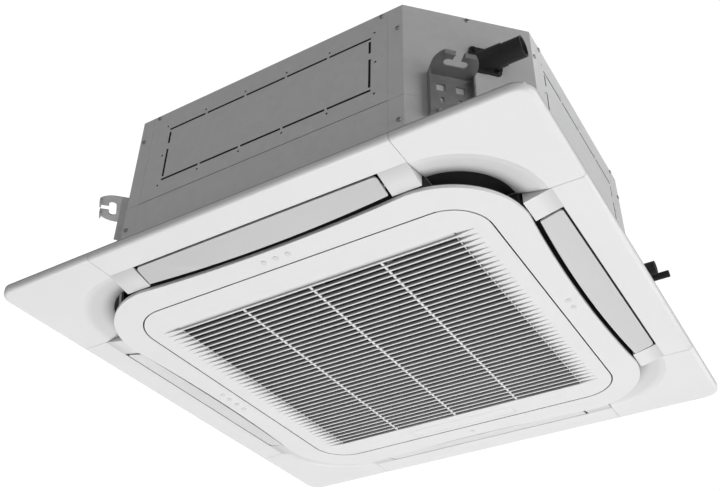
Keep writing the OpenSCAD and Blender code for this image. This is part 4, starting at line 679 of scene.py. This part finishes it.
# Each ring of the plate: how far back it lies, and the share of the edge by which it draws in
plateEdge, bend = flangePlate["edge"], flangePlate["edgeBend"]
plateRings = [(flangePlate["thick"], 0.0), (plateEdge, 0.0), (plateEdge * bend, bend), (0.0, 1.0)]
quarterSigns = [(1, 1), (-1, 1), (-1, -1), (1, -1)]
work = bmesh.new()
rings = []
for back, inset in plateRings:
    ring = []
    radius = flangePlate["corner"] - inset * plateEdge
    for quarter, (signX, signZ) in enumerate(quarterSigns):
        for step in range(flangePlate["steps"] + 1):
            angle = math.pi / 2 * (quarter + step / flangePlate["steps"])
            x = signX * (halfWide - flangePlate["corner"]) + radius * math.cos(angle)
            z = signZ * (halfHigh - flangePlate["corner"]) + radius * math.sin(angle)
            ring.append(work.verts.new(centre + across * x + Vector((0, 0, z)) - facing * back))
    rings.append(ring)
for below, above in zip(rings, rings[1:]):
    skin(work, below, above)
work.faces.new(rings[0])
work.faces.new(rings[-1])
addPiece(work, "drainFlangePlate", blackPlastic, "chassis", [], 40)

# Hexagon bolts of the brackets, each with its washer

boltHead = {
    "height": 2.4 * mm, "turn": 0.4, "shankRadius": 1.9 * mm, "shankSteps": 16,
    "washerReach": 1.12, "washerShare": 0.25, "washerSide": 0.8, "washerTop": 0.97, "washerSteps": 32,
    # Shares of the head's radius, and heights: its side, its flat top and the dimple
    "side": 0.98, "sideTop": 2.0 * mm, "flat": 0.9, "rim": 0.5, "dimple": 0.42, "dimpleTop": 2.15 * mm,
}
part = boltHead
work = bmesh.new()
for index, (points, faces) in enumerate(solidsOf("bracket_bolts")):
    top, facing, across, whole = headFrame(points, faces, sideways)
    height = part["height"]
    place = standOn(top - facing * height, facing, index * part["turn"])
    washerTop = height * part["washerShare"]
    edge = across * part["washerReach"]
    washer = [(0, 0), (edge, 0), (edge, washerTop * part["washerSide"]),
              (edge * part["washerTop"], washerTop), (0, washerTop)]
    lathe(work, washer, part["washerSteps"], place)
    head = [(0, washerTop), (across * part["side"], washerTop), (across * part["side"], part["sideTop"]),
            (across * part["flat"], height), (across * part["rim"], height),
            (across * part["dimple"], part["dimpleTop"]), (0, part["dimpleTop"])]
    lathe(work, head, 6, place)
    shank = [(0, height - whole), (part["shankRadius"], height - whole), (part["shankRadius"], 0), (0, 0)]
    lathe(work, shank, part["shankSteps"], place)
addPiece(work, "bracketHexBolts", screwSteel, "chassis", ["bracket_bolts"], 25)
print("fasteners dressed")

# Filter net, woven from thin strands that lie over one another: flat is a strand's height
# against its width, and levels are the heights of the two ways, in strands

netPart = {"pitch": 4.6 * mm, "strand": 0.28 * mm, "flat": 0.8, "levels": (1.6, 0.64)}
netLow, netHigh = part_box("filter_net")
strand = netPart["strand"]
work = bmesh.new()
for way in range(2):
    span = netHigh[way] - netLow[way]
    count = int(span / netPart["pitch"])
    height = netLow[2] + strand * netPart["levels"][way]
    for index in range(count + 1):
        at = netLow[way] + strand + index * (span - 2 * strand) / count
        ends = []
        for end in (netLow[1 - way], netHigh[1 - way]):
            ring = []
            for step in range(4):
                angle = math.pi / 2 * step + math.pi / 4
                over, up = strand * math.cos(angle), strand * netPart["flat"] * math.sin(angle)
                spot = (at + over, end) if way == 0 else (end, at + over)
                ring.append(work.verts.new((spot[0], spot[1], height + up)))
            ends.append(ring)
        skin(work, ends[0], ends[1])
        work.faces.new(ends[0][::-1])
        work.faces.new(ends[1])
addPiece(work, "filterNetStrands", netPlastic, "grille", ["filter_net"])
print("filter net woven")

# Floor, far below the unit

floorFinish = {"rough": 0.7, "grain": 200.0, "grainDepth": 0.03, "cloud": 0.01}
floorMesh = bpy.data.meshes.new("studioFloor")
half = studio["floorSize"] / 2
floorCorners = [(-half, -half, 0), (half, -half, 0), (half, half, 0), (-half, half, 0)]
floorMesh.from_pydata(floorCorners, [], [(0, 1, 2, 3)])
studioFloor = bpy.data.objects.new("studioFloor", floorMesh)
studioFloor.location = (0, 0, studio["floorHeight"])
floorPaint = mouldedPlastic("floorPaint", (0.80, 0.80, 0.80), **floorFinish)
# The floor looks paler than it is lit, as the backdrop does, and throws no light for it
floorTree = floorPaint.node_tree
floorShader = floorTree.nodes["Principled BSDF"]
floorShader.inputs["Emission Color"].default_value = (1, 1, 1, 1)
floorRays = floorTree.nodes.new("ShaderNodeLightPath")
floorLift = floorTree.nodes.new("ShaderNodeMath")
floorLift.operation = "MULTIPLY"
floorLift.inputs[1].default_value = studio["floorLift"]
floorTree.links.new(floorRays.outputs["Is Camera Ray"], floorLift.inputs[0])
floorTree.links.new(floorLift.outputs["Value"], floorShader.inputs["Emission Strength"])
floorMesh.materials.append(floorPaint)
bpy.context.scene.collection.objects.link(studioFloor)
